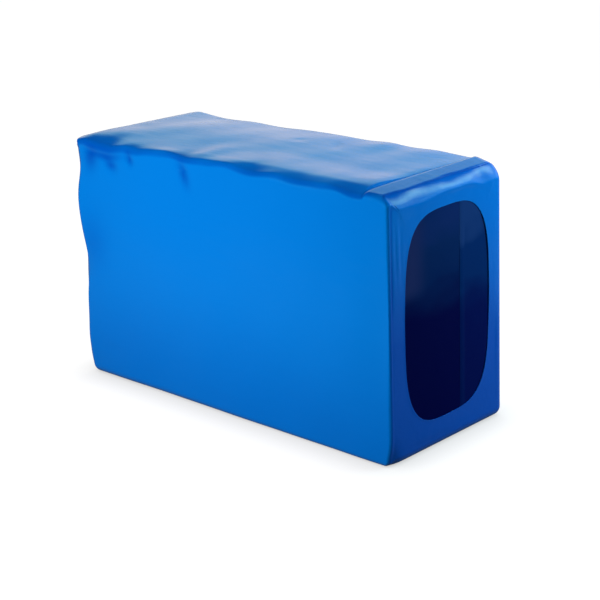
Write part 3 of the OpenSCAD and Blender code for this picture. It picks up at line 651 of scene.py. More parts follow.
# Radii along the four long edges, and turn-in and drop of the four edges of each end.
near_edge_r, near_front_r, near_front_from = 2.6, 5.0, 116.0
far_edge_r, far_front_r, far_front_from = 5.0, 11.0, 104.0
foot_rear_r, foot_front_r, foot_from, foot_to, far_foot_r = 5.5, 3.5, -110.0, 110.0, 6.0
least_edge_r = 1.0
front_turn = {"near": 1.8, "far": 6.5, "top": 5.0, "foot": 6.0}
front_drop = {"near": 1.8, "far": 6.5, "top": 8.4, "foot": 6.0}
rear_turn = {"near": 6.0, "far": 5.0, "top": 3.0, "foot": 7.0}

# Pillow of film before the band. Rows of ripples are height, length and phase, rows of bumps are place, half
# length and height.
pillow_flat = 0.45
pillow_turn_ripples = [(0.5, 11.0, 1.0), (0.3, 4.3, 0.0)]
pillow_drop_bumps, pillow_drop_ripples = [(-40.0, 16.0, 1.2), (10.0, 24.0, -2.3)], [(0.4, 6.0, 0.0)]
pillow_drop_far, pillow_far_from, pillow_far_to = 1.6, 24.0, 46.0
pillow_lift, pillow_ripples = 0.1, [(0.10, 3.7, 0.0)]
pillow_bumps = [(-40.0, 14.0, 0.5), (30.0, 5.0, -0.3), (41.0, 5.0, 0.5)]
pillow_turned, pillow_turned_half, pillow_drawn_to = 0.30, 0.34, 0.6
groove_depth, groove_ripples = 0.35, [(0.12, 5.0, 0.0)]
groove_far, groove_far_from, groove_far_to = 0.45, -25.0, 40.0
groove_turned, groove_turned_half = 0.97, 0.030

# Top: its stand above the boards, its crown, its fall behind a wavy ridge, waves, pits and swells.
top_stand, top_stand_fall, top_rear_sag, top_rear_reach = 1.5, 0.0095, 1.2, 40.0
top_sag_from, top_sag_to = -50.0, 50.0
crown_rear, crown_loss, crown_full_y = 1.05, 0.85, 0.0
front_half_from, front_half_to = -20.0, 105.0
fall_slope_mid, fall_slope_gain, fall_slope_loss = 0.062, 0.00022, 0.018
ridge_y, ridge_ripples, ridge_round = 8.0, [(7.0, 33.0, 1.2), (3.0, 13.0, 0.5)], 5.0
top_waves, top_waves_from, top_waves_to = [(0.16, 15.0, 41.0, 0.7), (0.10, 6.3, -19.0, 2.1)], -52.0, -12.0
body_step_from, body_step_to = -1.0, 8.0
band_crease, band_crease_back, band_crease_half = 0.7, 1.0, 0.8

# Pits of the top: depth, place and half length along the pack, slant, place and half width across it.
top_pits = [(0.45, 3.0, 4.0, 0.0, 18.0, 4.0), (0.45, 43.0, 3.0, 0.6, 20.0, 7.0)]

# Swells by the far edge of the top: height, place and half length along the pack, start and end across it.
far_swells = [(0.8, 78.0, 18.0, 10.0, 40.0), (1.1, 50.0, 12.0, 15.0, 45.0)]
far_roll, far_roll_ripples, far_roll_reach = 1.0, [(0.4, 8.3, 0.0)], 5.0
far_roll_from, far_roll_to = 14.0, 40.0

# Leaves of film that stand off the top behind its near edge: place along the pack, half length, lift.
film_leaves = [
    (-108.0, 14.0, 1.6), (-20.0, 9.0, 0.9), (34.0, 9.0, 0.5), (80.0, 9.0, 0.4), (106.0, 9.0, 0.5),
]
leaf_ridge, leaf_ridge_from, leaf_ridge_to, leaf_band_gap = 1.5, -24.0, 24.0, 3.0
leaf_rise_from, leaf_rise_to, leaf_fade_from, leaf_fade_to = -54.0, -43.0, -40.0, -8.0

# Roll of the top over its near edge, with scallops: place along the pack, reach over the top, depth.
roll_reach_even, roll_reach_ripples = 1.9, [(0.3, 5.1, 1.0)]
roll_depth_even, roll_depth_ripples = 1.7, [(0.2, 3.6, 2.2)]
roll_front_from, roll_front_to = 5.0, 22.0
roll_rear_share, roll_rear_from, roll_rear_to = 0.4, 2.0, 25.0
roll_floor, roll_slope, roll_least, roll_level = 155.0, 3.5, 1.7, 157.0
scallop_half = 10.0
film_scallops = [
    (-122.0, 6.0, 0.8), (-110.0, 6.5, 0.8), (-98.0, 6.0, 0.4), (-72.0, 1.8, 0.8),
    (-29.0, 4.0, 0.8), (31.0, 4.6, 0.9), (67.0, 2.2, 0.4), (104.0, 7.0, 0.4),
]

# Rise and fall of the near top edge: place along the pack, half length, drop.
edge_fall_reach = 6.0
film_edge_falls = [
    (-97.0, 14.0, 1.8), (-38.0, 18.0, -2.0), (6.0, 16.0, -2.2), (44.0, 13.0, -1.8),
    (68.0, 9.0, -0.8), (92.0, 9.0, -1.6), (108.0, 8.0, 0.8),
]

# Dents along the near top edge: place along the pack, height, half length, half height, lean, depth.
film_dents = [
    (-114.0, 150.0, 6.0, 9.0, 0.10, 1.2),
    (-99.0, 155.0, 13.0, 3.6, 0.0, 0.8),
    (-94.0, 147.5, 4.6, 4.6, -0.30, 1.1),
    (-76.0, 154.0, 2.6, 5.0, -0.20, 1.0),
    (-27.5, 150.0, 3.4, 7.5, -0.30, 1.2),
]

# Long sides: swell at the edges and more in the middle, and waves along and up.
side_swell_edge, side_swell_mid, side_swell_from, side_swell_to = 0.25, 0.5, 4.0, 30.0
near_waves = [(0.22, 19.0, 33.0, 1.1), (0.10, 8.0, -15.0, 0.3)]
far_waves = [(0.20, 12.5, -29.0, 0.5), (0.12, 6.2, 17.0, 1.3)]

# Ends: a crease by the near front edge, folds beside the front window, curled rims and gathers at the rear.
lip_until, long_face_from = 0.9, 0.55
edge_crease, edge_crease_in, edge_crease_half, edge_crease_turn = 0.12, 1.1, 0.7, 0.5
edge_welt, edge_welt_in, edge_welt_half = 0.05, 4.5, 2.5
fold_waves, fold_start_y, fold_y, fold_half_y = [(0.30, 0.75, 40.0, 0.0)], -53.0, -45.0, 3.4
fold_z, fold_half_z = 128.0, 15.0
rim_waves, rim_waves_to = [(0.16, 3.0, 0.5), (0.10, 7.0, 2.0)], 0.3
rim_curl, rim_curl_from = 0.10, 0.92
rear_bulge, rear_bulge_z, rear_bulge_half, rear_bulge_from, rear_bulge_to = 1.2, 150.0, 5.5, -50.0, -38.0
rear_foot_waves, rear_foot_z, rear_foot_half = [(0.4, 3.1, 50.0, 0.0)], 14.0, 6.0
rear_side_waves, rear_side_from, rear_side_to = [(0.35, 4.4, 30.0, 0.0)], 40.0, 46.0

# Near rear edge, caved in where nothing backs it, and the corners of the front end.
rear_caves = [
    (76.0, 16.0, 2.6), (160.0, 14.0, 1.2), (142.0, 12.0, 1.6), (3.0, 6.0, 0.8), (26.0, 11.0, -0.9),
    (116.0, 16.0, -1.5),
]
cave_share, cave_half_x, cave_half_y, cave_inwards = 1.17, 9.0, 3.8, 0.4
toe_back, toe_half_z, toe_half_x, toe_half_y = 3.0, 10.0, 7.0, 6.0
lean_out, lean_half_x, lean_half_y = 0.9, 22.0, 9.0

# Boards under the film, and how far past their edges they still carry it.
board_cover = 0.25
roof_board_lo, roof_board_hi = box_mm("top_board")
side_board_lo, side_board_hi = box_mm("right_board")
rear_board_lo, rear_board_hi = box_mm("rear_end_board")
roof_side_margin, roof_front_margin, roof_rear_margin, side_margin, rear_margin = 0.8, 1.0, 2.0, 1.5, 0.8
faces_least = 0.5

# Painted shade on the film, which deepens its blue: shares of the deeper blue, and where they start and end.
# Painted shade along the near top edge's roll, in the dents, darker towards the foot, and on the caved part
# of the near side.
roll_painted_shade, roll_painted_shade_reach, roll_painted_shade_from, roll_painted_shade_to = 0.82, 1.25, 2.0, 20.0
roll_painted_shade_up_from, roll_painted_shade_up_to = 0.2, 0.8
dent_painted_shade, foot_painted_shade, foot_painted_shade_to = 0.85, 0.30, 90.0
cave_painted_shade, cave_painted_shade_x, cave_painted_shade_half_x, cave_painted_shade_z, cave_painted_shade_half_z = 0.35, -118.0, 15.0, 93.0, 18.0
# Painted shade on the band over the cap's flange.
band_painted_shade, band_painted_shade_ease = 0.52, 1.0
# Painted shade on the front lip, which these losses paint lighter towards its top and its far upper side.
lip_painted_shade_loss, lip_painted_shade_from, lip_painted_shade_to = 0.95, 60.0, 150.0
far_painted_shade_loss, far_painted_shade_y, far_painted_shade_z = 0.4, (20.0, 50.0), (40.0, 100.0)
# Painted shade on the pillow and in its groove, and in the crease by the near front edge.
pillow_painted_shade, pillow_painted_shade_from, pillow_painted_shade_to = 0.5, 0.1, 0.5
crease_painted_shade = 0.6


def ripples(along, rows):
    """Sum of sine waves along one way: height, length over 2 pi, and phase."""
    return sum(height * np.sin(along / length + phase) for height, length, phase in rows)


def bumps(along, rows):
    """Sum of bells along one way: place, half length and height."""
    return sum(height * bell(along, place, half) for place, half, height in rows)


def girth():
    """One turn round the sleeve: a circle's centre goes round the inner rectangle, and it turns at the
    corners. Gives the centre's place across and up, from -1 to 1, and the angle that the film faces."""
    corners = np.array([[1.0, 1.0], [-1.0, 1.0], [-1.0, -1.0], [1.0, -1.0]])
    centre, angle = [], []
    for place, steps in enumerate([top_steps, side_steps, top_steps, side_steps]):
        start, leap = corners[place], corners[(place + 1) % 4] - corners[place]
        bend = np.linspace(place, place + 1.0, corner_steps) * math.pi / 2.0
        share = np.arange(1, steps) / steps
        run = share - edge_crowding * np.sin(2.0 * math.pi * share) / (2.0 * math.pi)
        centre += [np.tile(start, (corner_steps, 1)), start + leap * run[:, None]]
        angle += [bend, np.full(run.shape, (place + 1.0) * math.pi / 2.0)]
    centre = np.concatenate(centre)
    return centre[:, 0], centre[:, 1], np.concatenate(angle)


def stations():
    """Along the sleeve from the front window's rim to the rear one's: how far each row is drawn in, how far
    it has turned over the end, which end it is on, and its share of the band, of its edge and of the body."""
    def share(count):
        return np.linspace(0.0, 1.0, count + 1)[1:]

    lip = (1.0 + np.cos(math.pi * np.linspace(0.0, 1.0, lip_rows))) / 2.0
    rear_lip = (1.0 + np.cos(math.pi * np.linspace(1.0, 0.0, rear_lip_rows))) / 2.0
    middle = band_rows + fold_rows + body_rows - 1
    before, after = lip_rows + turn_rows, turn_rows + rear_lip_rows
    turn_back = 1.0 - np.append(0.0, share(turn_rows)[:-1])
    drawn = np.concatenate([lip, np.zeros(turn_rows + middle + turn_rows), rear_lip])
    turned = np.concatenate([
        np.zeros(lip_rows), share(turn_rows), np.ones(middle), turn_back, np.zeros(rear_lip_rows)])
    end = np.concatenate([np.ones(before), np.zeros(middle), -np.ones(after)])
    band = np.concatenate([np.zeros(before), share(band_rows), np.ones(fold_rows + body_rows - 1 + after)])
    fold = np.concatenate([np.zeros(before + band_rows), share(fold_rows), np.ones(body_rows - 1 + after)])
    body = np.concatenate([np.zeros(before + band_rows + fold_rows), share(body_rows)[:-1], np.ones(after)])
    return drawn, turned, end, band, fold, body


centre_y, centre_z, facing = (row[None, :] for row in girth())
drawn, turned, end, band, fold, body = (column[:, None] for column in stations())
faces_up, faces_out = np.sin(facing), np.cos(facing)
side_share = {
    "near": np.clip(-faces_out, 0.0, 1.0) ** 2, "far": np.clip(faces_out, 0.0, 1.0) ** 2,
    "top": np.clip(faces_up, 0.0, 1.0) ** 2, "foot": np.clip(-faces_up, 0.0, 1.0) ** 2,
}
at_front, at_rear = np.clip(end, 0.0, 1.0), np.clip(-end, 0.0, 1.0)
lip_share = 1.0 - ease(turned, 0.0, lip_until)
long_face = ease(turned, long_face_from, 1.0)
along_top = centre_y * film_half
in_from_edge = drawn * (film_half - window_half)


def end_turns():
    """How far the film turns in along the pack and comes down at each end: the four sides' values in their
    shares, and on the top edge of the front the pillow's ripples and bumps."""
    pillow_drop = bumps(along_top, pillow_drop_bumps) + ripples(along_top, pillow_drop_ripples)
    pillow_drop = pillow_drop + pillow_drop_far * ease(along_top, pillow_far_from, pillow_far_to)
    front_r = sum(front_turn[side] * side_share[side] for side in side_share)
    front_r = front_r + ripples(along_top, pillow_turn_ripples) * side_share["top"]
    front_d = sum(front_drop[side] * side_share[side] for side in side_share)
    front_d = front_d + pillow_drop * side_share["top"]
    rear_r = sum(rear_turn[side] * side_share[side] for side in side_share)
    return front_r, front_d, rear_r


def plain_sleeve():
    """Circle round the section carried along the pack, its edge radii easing from rear to front and its roof
    stepping up at the band; the ends come in by a quarter ellipse and go straight to the window's rim, a
    superellipse. Gives the points and each one's bearing from the window's middle."""
    front_r, front_d, rear_r = end_turns()
    turn_r = np.where(end > 0.0, front_r, rear_r)
    drop_r = np.where(end > 0.0, front_d, rear_r)
    turn_power = np.where(end > 0.0, 1.0 + pillow_flat * side_share["top"], 1.0)
    come_in = drop_r * (1.0 - np.sin(turned * math.pi / 2.0) ** turn_power)
    x = film_front - front_r + (fold_front - film_front + front_r) * band + (fold_back - fold_front) * fold
    x = x + (film_rear + rear_r - fold_back) * body
    x = x + end * turn_r * np.cos(turned * math.pi / 2.0) ** turn_power
    upper, far = (1.0 + centre_z) / 2.0, (1.0 + centre_y) / 2.0
    far_top_r = far_edge_r + (far_front_r - far_edge_r) * ease(x, far_front_from, film_front)
    near_foot_r = foot_rear_r + (foot_front_r - foot_rear_r) * ease(x, foot_from, foot_to)
    near_top_r = near_edge_r + (near_front_r - near_edge_r) * ease(x, near_front_from, film_front)
    corner_r = upper * (far * far_top_r + (1.0 - far) * near_top_r)
    corner_r = corner_r + (1.0 - upper) * (far * far_foot_r + (1.0 - far) * near_foot_r)
    corner_r = np.maximum(corner_r - come_in, least_edge_r)
    on_band = (x - band_back - band_fall_gap) / (film_front - band_back - band_fall_gap)
    roof = film_roof + band_rise * ease(x, step_back, step_front)
    roof = roof - rear_droop * ease(-x, rear_droop_from, -film_rear) - band_fall * np.clip(on_band, 0.0, 1.0)
    y = centre_y * (film_half - come_in - corner_r) + corner_r * faces_out
    z = roof / 2.0 + centre_z * (roof / 2.0 - come_in - corner_r) + corner_r * faces_up
    window_low = np.where(end > 0.0, window_low_front, window_low_rear)
    window_z, window_b = (window_low + window_high) / 2.0, (window_high - window_low) / 2.0
    bearing = np.arctan2(z - window_z, y - window_y)
    across, rise = np.abs(np.cos(bearing) / window_half), np.abs(np.sin(bearing) / window_b)
    reach = (across ** window_power + rise ** window_power) ** (-1.0 / window_power)
    y = y + (window_y + reach * np.cos(bearing) - y) * drawn
    z = z + (window_z + reach * np.sin(bearing) - z) * drawn
    return np.stack([x + 0.0 * y, y, z], axis=-1), bearing


def outward(points):
    """Unit normal of a ring of rows: its step along the pack crossed with its step round the section."""
    normal = np.cross(np.gradient(points, axis=0), np.roll(points, -1, axis=1) - np.roll(points, 1, axis=1))
    return normal / (np.linalg.norm(normal, axis=-1, keepdims=True) + 1e-9)


def top_swell(x, y):
    """Top: a stand that falls along the pack and sags at the far rear corner, a crown that falls away behind
    a wavy ridge, slow waves, two pits, a crease behind the band, leaves by the near edge and swells by the
    far one, which rolls down."""
    on_body = ease(band_back - x, body_step_from, body_step_to)
    off_rear = ease(x - film_rear, 0.0, top_rear_reach)
    crowned = on_body * off_rear
    front_half = ease(x, front_half_from, front_half_to)
    crown = crown_rear - crown_loss * front_half
    fall_slope = fall_slope_mid - fall_slope_gain * x - fall_slope_loss * front_half
    past_ridge = y - ridge_y - ripples(x, ridge_ripples)
    fall_away = ridge_round * np.log1p(np.exp(past_ridge / ridge_round))
    rear_sag = top_rear_sag * (1.0 - off_rear) * ease(y, top_sag_from, top_sag_to)
    swell = on_body * (top_stand - top_stand_fall * x - rear_sag)
    swell += crowned * (crown * ease(y, top_sag_from, crown_full_y) - fall_slope * fall_away)
    swell += crowned * waves(x, y, top_waves) * ease(y, top_waves_from, top_waves_to)
    for depth, place, half, slant, place_y, half_y in top_pits:
        swell -= depth * bell(x + slant * y, place, half) * bell(y, place_y, half_y)
    swell -= band_crease * bell(x, band_back - band_crease_back, band_crease_half)
    leaves = leaf_ridge * ease(x, leaf_ridge_from, leaf_ridge_to) + bumps(x, film_leaves)
    leaves = leaves * ease(band_back - x, 0.0, leaf_band_gap)
    swell += leaves * ease(y, leaf_rise_from, leaf_rise_to) * (1.0 - ease(y, leaf_fade_from, leaf_fade_to))
    for height, place, half, start_y, end_y in far_swells:
        swell += height * bell(x, place, half) * ease(y, start_y, end_y)
    roll = (far_roll + ripples(x, far_roll_ripples)) * np.exp(-(film_half - y) / far_roll_reach)
    return swell - roll * ease(film_front - x, far_roll_from, far_roll_to)


def dents(x, z):
    """Depth and share of the dents by the near top edge: leaning bells along the pack times bells up it."""
    depths, shares = 0.0, 0.0
    for place, height, half_length, half_height, lean, depth in film_dents:
        dent = bell(x - lean * (z - height), place, half_length) * bell(z, height, half_height)
        depths, shares = depths + depth * dent, shares + dent
    return depths, shares


def grooves():
    """Groove between band and pillow: a depth with ripples, deeper to the far side, in a narrow bell."""
    depth = groove_depth + ripples(along_top, groove_ripples)
    depth = depth + groove_far * ease(along_top, groove_far_from, groove_far_to)
    return depth * bell(turned, groove_turned, groove_turned_half)


def end_gathers(y, z, bearing):
    """Ends: the front's pillow and groove, a crease and a welt by its near edge, folds beside its window;
    both rims waved and curled; at the rear a bulge along the top and gathers along the foot and the sides."""
    pillow = pillow_lift + bumps(y, pillow_bumps) + ripples(y, pillow_ripples)
    pillow = pillow * bell(turned, pillow_turned, pillow_turned_half)
    pillow = pillow * (1.0 - ease(drawn, 0.0, pillow_drawn_to))
    push = at_front * side_share["top"] * (pillow - grooves())
    crease = edge_crease * bell(in_from_edge, edge_crease_in, edge_crease_half) * (turned < edge_crease_turn)
    welt = edge_welt * bell(in_from_edge, edge_welt_in, edge_welt_half) * lip_share
    push += at_front * side_share["near"] * (welt - crease)
    folds = waves(y - fold_start_y, z, fold_waves)
    folds = folds * bell(z, fold_z, fold_half_z) * bell(y, fold_y, fold_half_y)
    push += at_front * lip_share * folds
    rim = sum(height * np.sin(turns * bearing + phase) for height, turns, phase in rim_waves)
    push += lip_share * ease(drawn, 0.0, rim_waves_to) * rim
    push += lip_share * rim_curl * ease(drawn, rim_curl_from, 1.0) * (1.0 - side_share["top"])
    bulge = rear_bulge * bell(z, rear_bulge_z, rear_bulge_half)
    bulge = bulge * ease(y, rear_bulge_from, rear_bulge_to) * ease(-y, rear_bulge_from, rear_bulge_to)
    foot = waves(y, z, rear_foot_waves) * bell(z, rear_foot_z, rear_foot_half)
    sides = waves(z, y, rear_side_waves) * ease(np.abs(y), rear_side_from, rear_side_to)
    return push + at_rear * lip_share * (bulge + foot + sides)


def edge_roll(x, y, z):
    """Near top edge: how far it rolls down, an exponential over the top whose depth and reach are scalloped,
    with the edge's own rise and fall, and that reach."""
    reach = roll_reach_even + ripples(x, roll_reach_ripples)
    reach = reach + bumps(x, [(place, scallop_half, wide) for place, wide, deep in film_scallops])
    depth = roll_depth_even + ripples(x, roll_depth_ripples)
    depth = depth + bumps(x, [(place, scallop_half, deep) for place, wide, deep in film_scallops])
    depth = depth * ease(film_front - x, roll_front_from, roll_front_to)
    rear_share = (1.0 - roll_rear_share) * ease(x - film_rear, roll_rear_from, roll_rear_to)
    depth = depth * (roll_rear_share + rear_share)
    fall = bumps(x, film_edge_falls) * np.exp(-(y + film_half) / edge_fall_reach)
    fall = fall + depth * np.exp(-(y + film_half) / reach)
    fall = fall * ease(z, roll_floor - roll_slope * np.maximum(fall, roll_least), roll_level) * long_face
    return fall, reach


def rest_on_boards(points):
    """The film lies on the top board, the side boards and the rear board, and cannot sink below them."""
    x, y, z = points[..., 0], points[..., 1], points[..., 2]
    over = (faces_up > faces_least) & (np.abs(y) < roof_board_hi[1] + roof_side_margin)
    over = over & (x < roof_board_hi[0] + roof_front_margin) & (x > roof_board_lo[0] - roof_rear_margin)
    beside = np.abs(faces_out) > faces_least
    beside = beside & (z > side_board_lo[2] - side_margin) & (z < side_board_hi[2] + side_margin)
    beside = beside & (x > side_board_lo[0] - side_margin) & (x < side_board_hi[0] + side_margin)
    behind = (end < 0.0) & (np.abs(y) < rear_board_hi[1] + rear_margin)
    behind = behind & (z > rear_board_lo[2] - rear_margin) & (z < rear_board_hi[2] + rear_margin)
    side_y = np.sign(faces_out) * np.maximum(np.abs(y), side_board_hi[1] + board_cover)
    return np.stack([
        np.where(behind, np.minimum(x, rear_board_lo[0] - board_cover), x),
        np.where(beside, side_y, y),
        np.where(over, np.maximum(z, roof_board_hi[2] + board_cover), z),
    ], axis=-1)


def painted_shade_share(x, y, z, roll_reach):
    """Painted shade of the film, from 0 to 1: the near roll, dents, the foot and the caved part of
    the near side, the band, the front lip, painted lighter towards its top and far upper side, the pillow
    with its groove and the near front crease."""
    near, top = side_share["near"] * long_face, side_share["top"] * long_face
    painted_shade = roll_painted_shade * ease(faces_up, roll_painted_shade_up_from, roll_painted_shade_up_to) * long_face
    painted_shade = painted_shade * np.exp(-(y + film_half) / (roll_painted_shade_reach * roll_reach))
    painted_shade = painted_shade * ease(film_front - x, roll_painted_shade_from, roll_painted_shade_to)
    caved = cave_painted_shade * bell(x, cave_painted_shade_x, cave_painted_shade_half_x) * bell(z, cave_painted_shade_z, cave_painted_shade_half_z)
    painted_shade += near * (dent_painted_shade * dents(x, z)[1] + foot_painted_shade * (1.0 - ease(z, 0.0, foot_painted_shade_to)) + caved)
    painted_shade += band_painted_shade * top * ease(x, band_back - band_painted_shade_ease, band_back + band_painted_shade_ease)
    lip = 1.0 - lip_painted_shade_loss * ease(z, lip_painted_shade_from, lip_painted_shade_to)
    lip = lip * (1.0 - far_painted_shade_loss * ease(y, *far_painted_shade_y) * ease(z, *far_painted_shade_z))
    painted_shade += at_front * lip_share * lip
    pillow = grooves() + pillow_painted_shade * ease(turned, pillow_painted_shade_from, pillow_painted_shade_to)
    painted_shade += at_front * side_share["top"] * pillow
    crease = crease_painted_shade * bell(in_from_edge, edge_crease_in, edge_crease_half) * (turned < edge_crease_turn)
    return np.clip(painted_shade + at_front * side_share["near"] * crease, 0.0, 1.0)


def sleeve_surface():
    """Plain sleeve pushed along its own normal by swells, dents and gathers; then its near top edge is rolled
    down, its near rear edge caved in and its front corners drawn, and it is laid on the boards and the floor.
    Gives the points and their share of painted shade."""
    base, bearing = plain_sleeve()
    x, y, z = base[..., 0], base[..., 1], base[..., 2]
    side_swell = side_swell_edge + side_swell_mid * (1.0 - ((z - film_mid) / film_mid) ** 2)
    side_swell = side_swell * ease(film_front - x, side_swell_from, side_swell_to)
    push = side_share["top"] * long_face * top_swell(x, y)
    push += side_share["near"] * long_face * (side_swell + waves(x, z, near_waves) - dents(x, z)[0])
    push += side_share["far"] * long_face * (side_swell + waves(x, z, far_waves))
    push += end_gathers(y, z, bearing)
    points = base + outward(base) * push[..., None]
    fall, roll_reach = edge_roll(x, y, z)
    cave = cave_share * bumps(z, rear_caves)
    cave = cave * bell(x, film_rear, cave_half_x) * bell(y, -film_half, cave_half_y)
    toe = toe_back * bell(z, 0.0, toe_half_z)
    toe = toe * bell(x, film_front, toe_half_x) * bell(y, -film_half, toe_half_y)
    lean = lean_out * (z - film_mid) / film_mid
    points[..., 0] += cave - toe
    points[..., 1] += cave_inwards * cave
    points[..., 1] -= lean * bell(x, film_front, lean_half_x) * bell(y, film_half, lean_half_y)
    points[..., 2] = np.maximum(points[..., 2] - fall, 0.0)
    return rest_on_boards(points) * mm, painted_shade_share(x, y, z, roll_reach)


sleeve_points, sleeve_painted_shade = sleeve_surface()
sleeve = grid_piece("shrink_film", sleeve_points, ring_columns=True)
sleeve.data.attributes.new("painted_shade", "FLOAT", "POINT").data.foreach_set("value", sleeve_painted_shade.ravel())
thicken(sleeve, film_wall * mm)
film, film_tree, film_shader = new_finish("sleeve_film", roughness=0.2)
film_shader.inputs["IOR"].default_value = 1.5
film_shader.inputs["Specular Tint"].default_value = (0.0, 0.55, 1.0, 1.0)
film_place = object_place(film_tree)
film_clouds = clouds(film_tree, object_place(film_tree, (0.5, 1.0, 1.0)), per_metre=30.0, detail=2.0)
# Painted shade: a point attribute takes the film from its own blue to the deeper, painted-shade blue.
film_painted_shade = film_tree.nodes.new("ShaderNodeAttribute")
film_painted_shade.attribute_name = "painted_shade"
film_depth = blended(film_tree, "MULTIPLY_ADD", film_clouds, film_waver, film_painted_shade.outputs["Fac"])
tint(film_tree, film_shader, film_depth, film_blue, film_blue_painted_shade, film_waver / 2.0, 1.0 + film_waver / 2.0)
rub(film_tree, film_shader, clouds(film_tree, film_place, per_metre=45.0), smooth=0.14, rough=0.23)
film_ripple = clouds(film_tree, object_place(film_tree, (0.4, 1.0, 1.0)), per_metre=110.0, detail=2.0)
film_grain = clouds(film_tree, film_place, per_metre=900.0, detail=1.0)
film_relief = blended(film_tree, "MULTIPLY_ADD", film_grain, film_grain_share, film_ripple)
emboss(film_tree, film_shader, film_relief, depth=0.0002)
sleeve.data.materials.append(film)
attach(sleeve, "root")
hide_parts("shrink_sleeve")

# Floor
# A plain white sweep. It shows white to the camera and in clear pieces, and keeps the pack's soft shadow from
# the lamps. Its glow is painted a little dimmer near the pack, and dimmer still in a painted contact shadow
# where the pack closes in over it.
floor_reach, floor_lines = 4.0, 9
floor_greys = (0.14, 0.14, 0.14), (0.16, 0.16, 0.16)
# Painted shade: the floor's glow is dimmer near the pack and white further off.
floor_glow_near, floor_glow_far = 0.94, 1.0
floor_near, floor_far = 0.12, 0.42
floor_mirror = 0.04
floor_painted_shadow, floor_painted_shadow_reach = 0.45, 0.023
floor_grid = np.linspace(-floor_reach, floor_reach, floor_lines)
floor_x, floor_y = np.meshgrid(floor_grid, floor_grid, indexing="ij")
floor = grid_piece("floor", np.stack([floor_x, floor_y, 0.0 * floor_x], axis=-1))
white, white_tree, white_shader = new_finish("white_sweep", roughness=0.9)
white_shader.inputs["Specular IOR Level"].default_value = 0.0
tint(white_tree, white_shader, clouds(white_tree, object_place(white_tree), per_metre=3.0), *floor_greys)
rays = white_tree.nodes.new("ShaderNodeLightPath")
seen = blended(white_tree, "MAXIMUM", rays.outputs["Is Camera Ray"], rays.outputs["Is Transmission Ray"])
mirrored = blended(white_tree, "MULTIPLY", rays.outputs["Is Glossy Ray"], floor_mirror)
floor_distance = white_tree.nodes.new("ShaderNodeVectorMath")
floor_distance.operation = "LENGTH"
white_tree.links.new(object_place(white_tree), floor_distance.inputs[0])
away = smooth_share(white_tree, floor_distance.outputs["Value"], floor_near, floor_far)
floor_glow = blended(white_tree, "MULTIPLY_ADD", away, floor_glow_far - floor_glow_near, floor_glow_near)
# Painted contact shadow: the pack's ambient occlusion dims the floor's glow close round its foot.
painted_contact_shadow = white_tree.nodes.new("ShaderNodeAmbientOcclusion")
painted_contact_shadow.inputs["Distance"].default_value = floor_painted_shadow_reach
open_share = blended(white_tree, "MULTIPLY_ADD", painted_contact_shadow.outputs["AO"], floor_painted_shadow, 1.0 - floor_painted_shadow)
floor_shown = blended(white_tree, "MULTIPLY", floor_glow, open_share)
glow_strength = blended(white_tree, "MULTIPLY_ADD", seen, floor_shown, mirrored)
glow = white_tree.nodes.new("ShaderNodeEmission")
white_tree.links.new(glow_strength, glow.inputs["Strength"])
sweep = white_tree.nodes.new("ShaderNodeAddShader")
white_tree.links.new(white_shader.outputs[0], sweep.inputs[0])
white_tree.links.new(glow.outputs[0], sweep.inputs[1])
white_tree.links.new(sweep.outputs[0], white_tree.nodes["Material Output"].inputs["Surface"])
floor.data.materials.append(white)

# Studio light
# A soft box before the long side, one above, a cool one behind the front corner for its diffuse light, and a
# warm narrow one beside it for its reflection. The room is white by the horizon, cooler and then dim
# overhead, and dim before the rear near corner.
key_watts, key_size, key_place, key_aim = 1.5, (0.44, 0.18), (-0.04, -0.37, 0.175), (0.0, 0.0, 0.08)
back_watts, back_size, back_place, back_aim = 2.1, (0.26, 0.26), (0.37, 0.29, 0.26), (0.13, 0.02, 0.10)
back_colour = (0.55, 0.87, 1.0)
sheen_watts, sheen_size, sheen_spread = 0.042, (0.26, 0.26), 28.0
sheen_place, sheen_aim = (0.36, 0.35, 0.34), (0.13, -0.012, 0.155)
sheen_colour = (1.0, 0.89, 0.46)
top_watts, top_size, top_place, top_aim = 2.6, (0.5, 0.5), (-0.05, 0.35, 0.80), (0.0, 0.0, 0.10)
room_light = 0.07
room_white_up_to, room_dim_from, room_dim = 18.5, 38.0, 0.05
room_white, room_cool = (1.0, 1.0, 1.0), (0.48, 1.0, 1.0)
room_cool_from, room_cool_to = 4.0, 25.0
room_dark_way, room_dark_from, room_dark_to = (-0.69, -0.72, 0.0), 0.2, 0.6


def soft_box(name, watts, size, place, aim):
    """Rectangular lamp at a place, turned to a point."""
    lamp = bpy.data.lights.new(name, "AREA")
    lamp.shape = "RECTANGLE"
    lamp.size, lamp.size_y = size
    lamp.energy = watts
    holder = bpy.data.objects.new(name, lamp)
    away = np.array(place) - np.array(aim)
    away /= np.linalg.norm(away)
    side = np.cross((0.0, 0.0, 1.0), away)
    side /= np.linalg.norm(side)
    turn = np.identity(4)
    turn[:3, :] = np.stack([side, np.cross(away, side), away, place], axis=1)
    holder.matrix_world = Matrix(turn.tolist())
    holder.visible_camera = False
    bpy.context.scene.collection.objects.link(holder)
    return holder


def up_at(degrees):
    """Height of a direction at an angle above the horizon."""
    return math.sin(math.radians(degrees))


soft_box("key_light", key_watts, key_size, key_place, key_aim).visible_glossy = False
back_light = soft_box("back_light", back_watts, back_size, back_place, back_aim)
back_light.data.color = back_colour
back_light.visible_glossy = False
sheen_light = soft_box("sheen_light", sheen_watts, sheen_size, sheen_place, sheen_aim)
sheen_light.data.spread = math.radians(sheen_spread)
sheen_light.data.color = sheen_colour
sheen_light.visible_diffuse = False
soft_box("top_light", top_watts, top_size, top_place, top_aim).visible_glossy = False

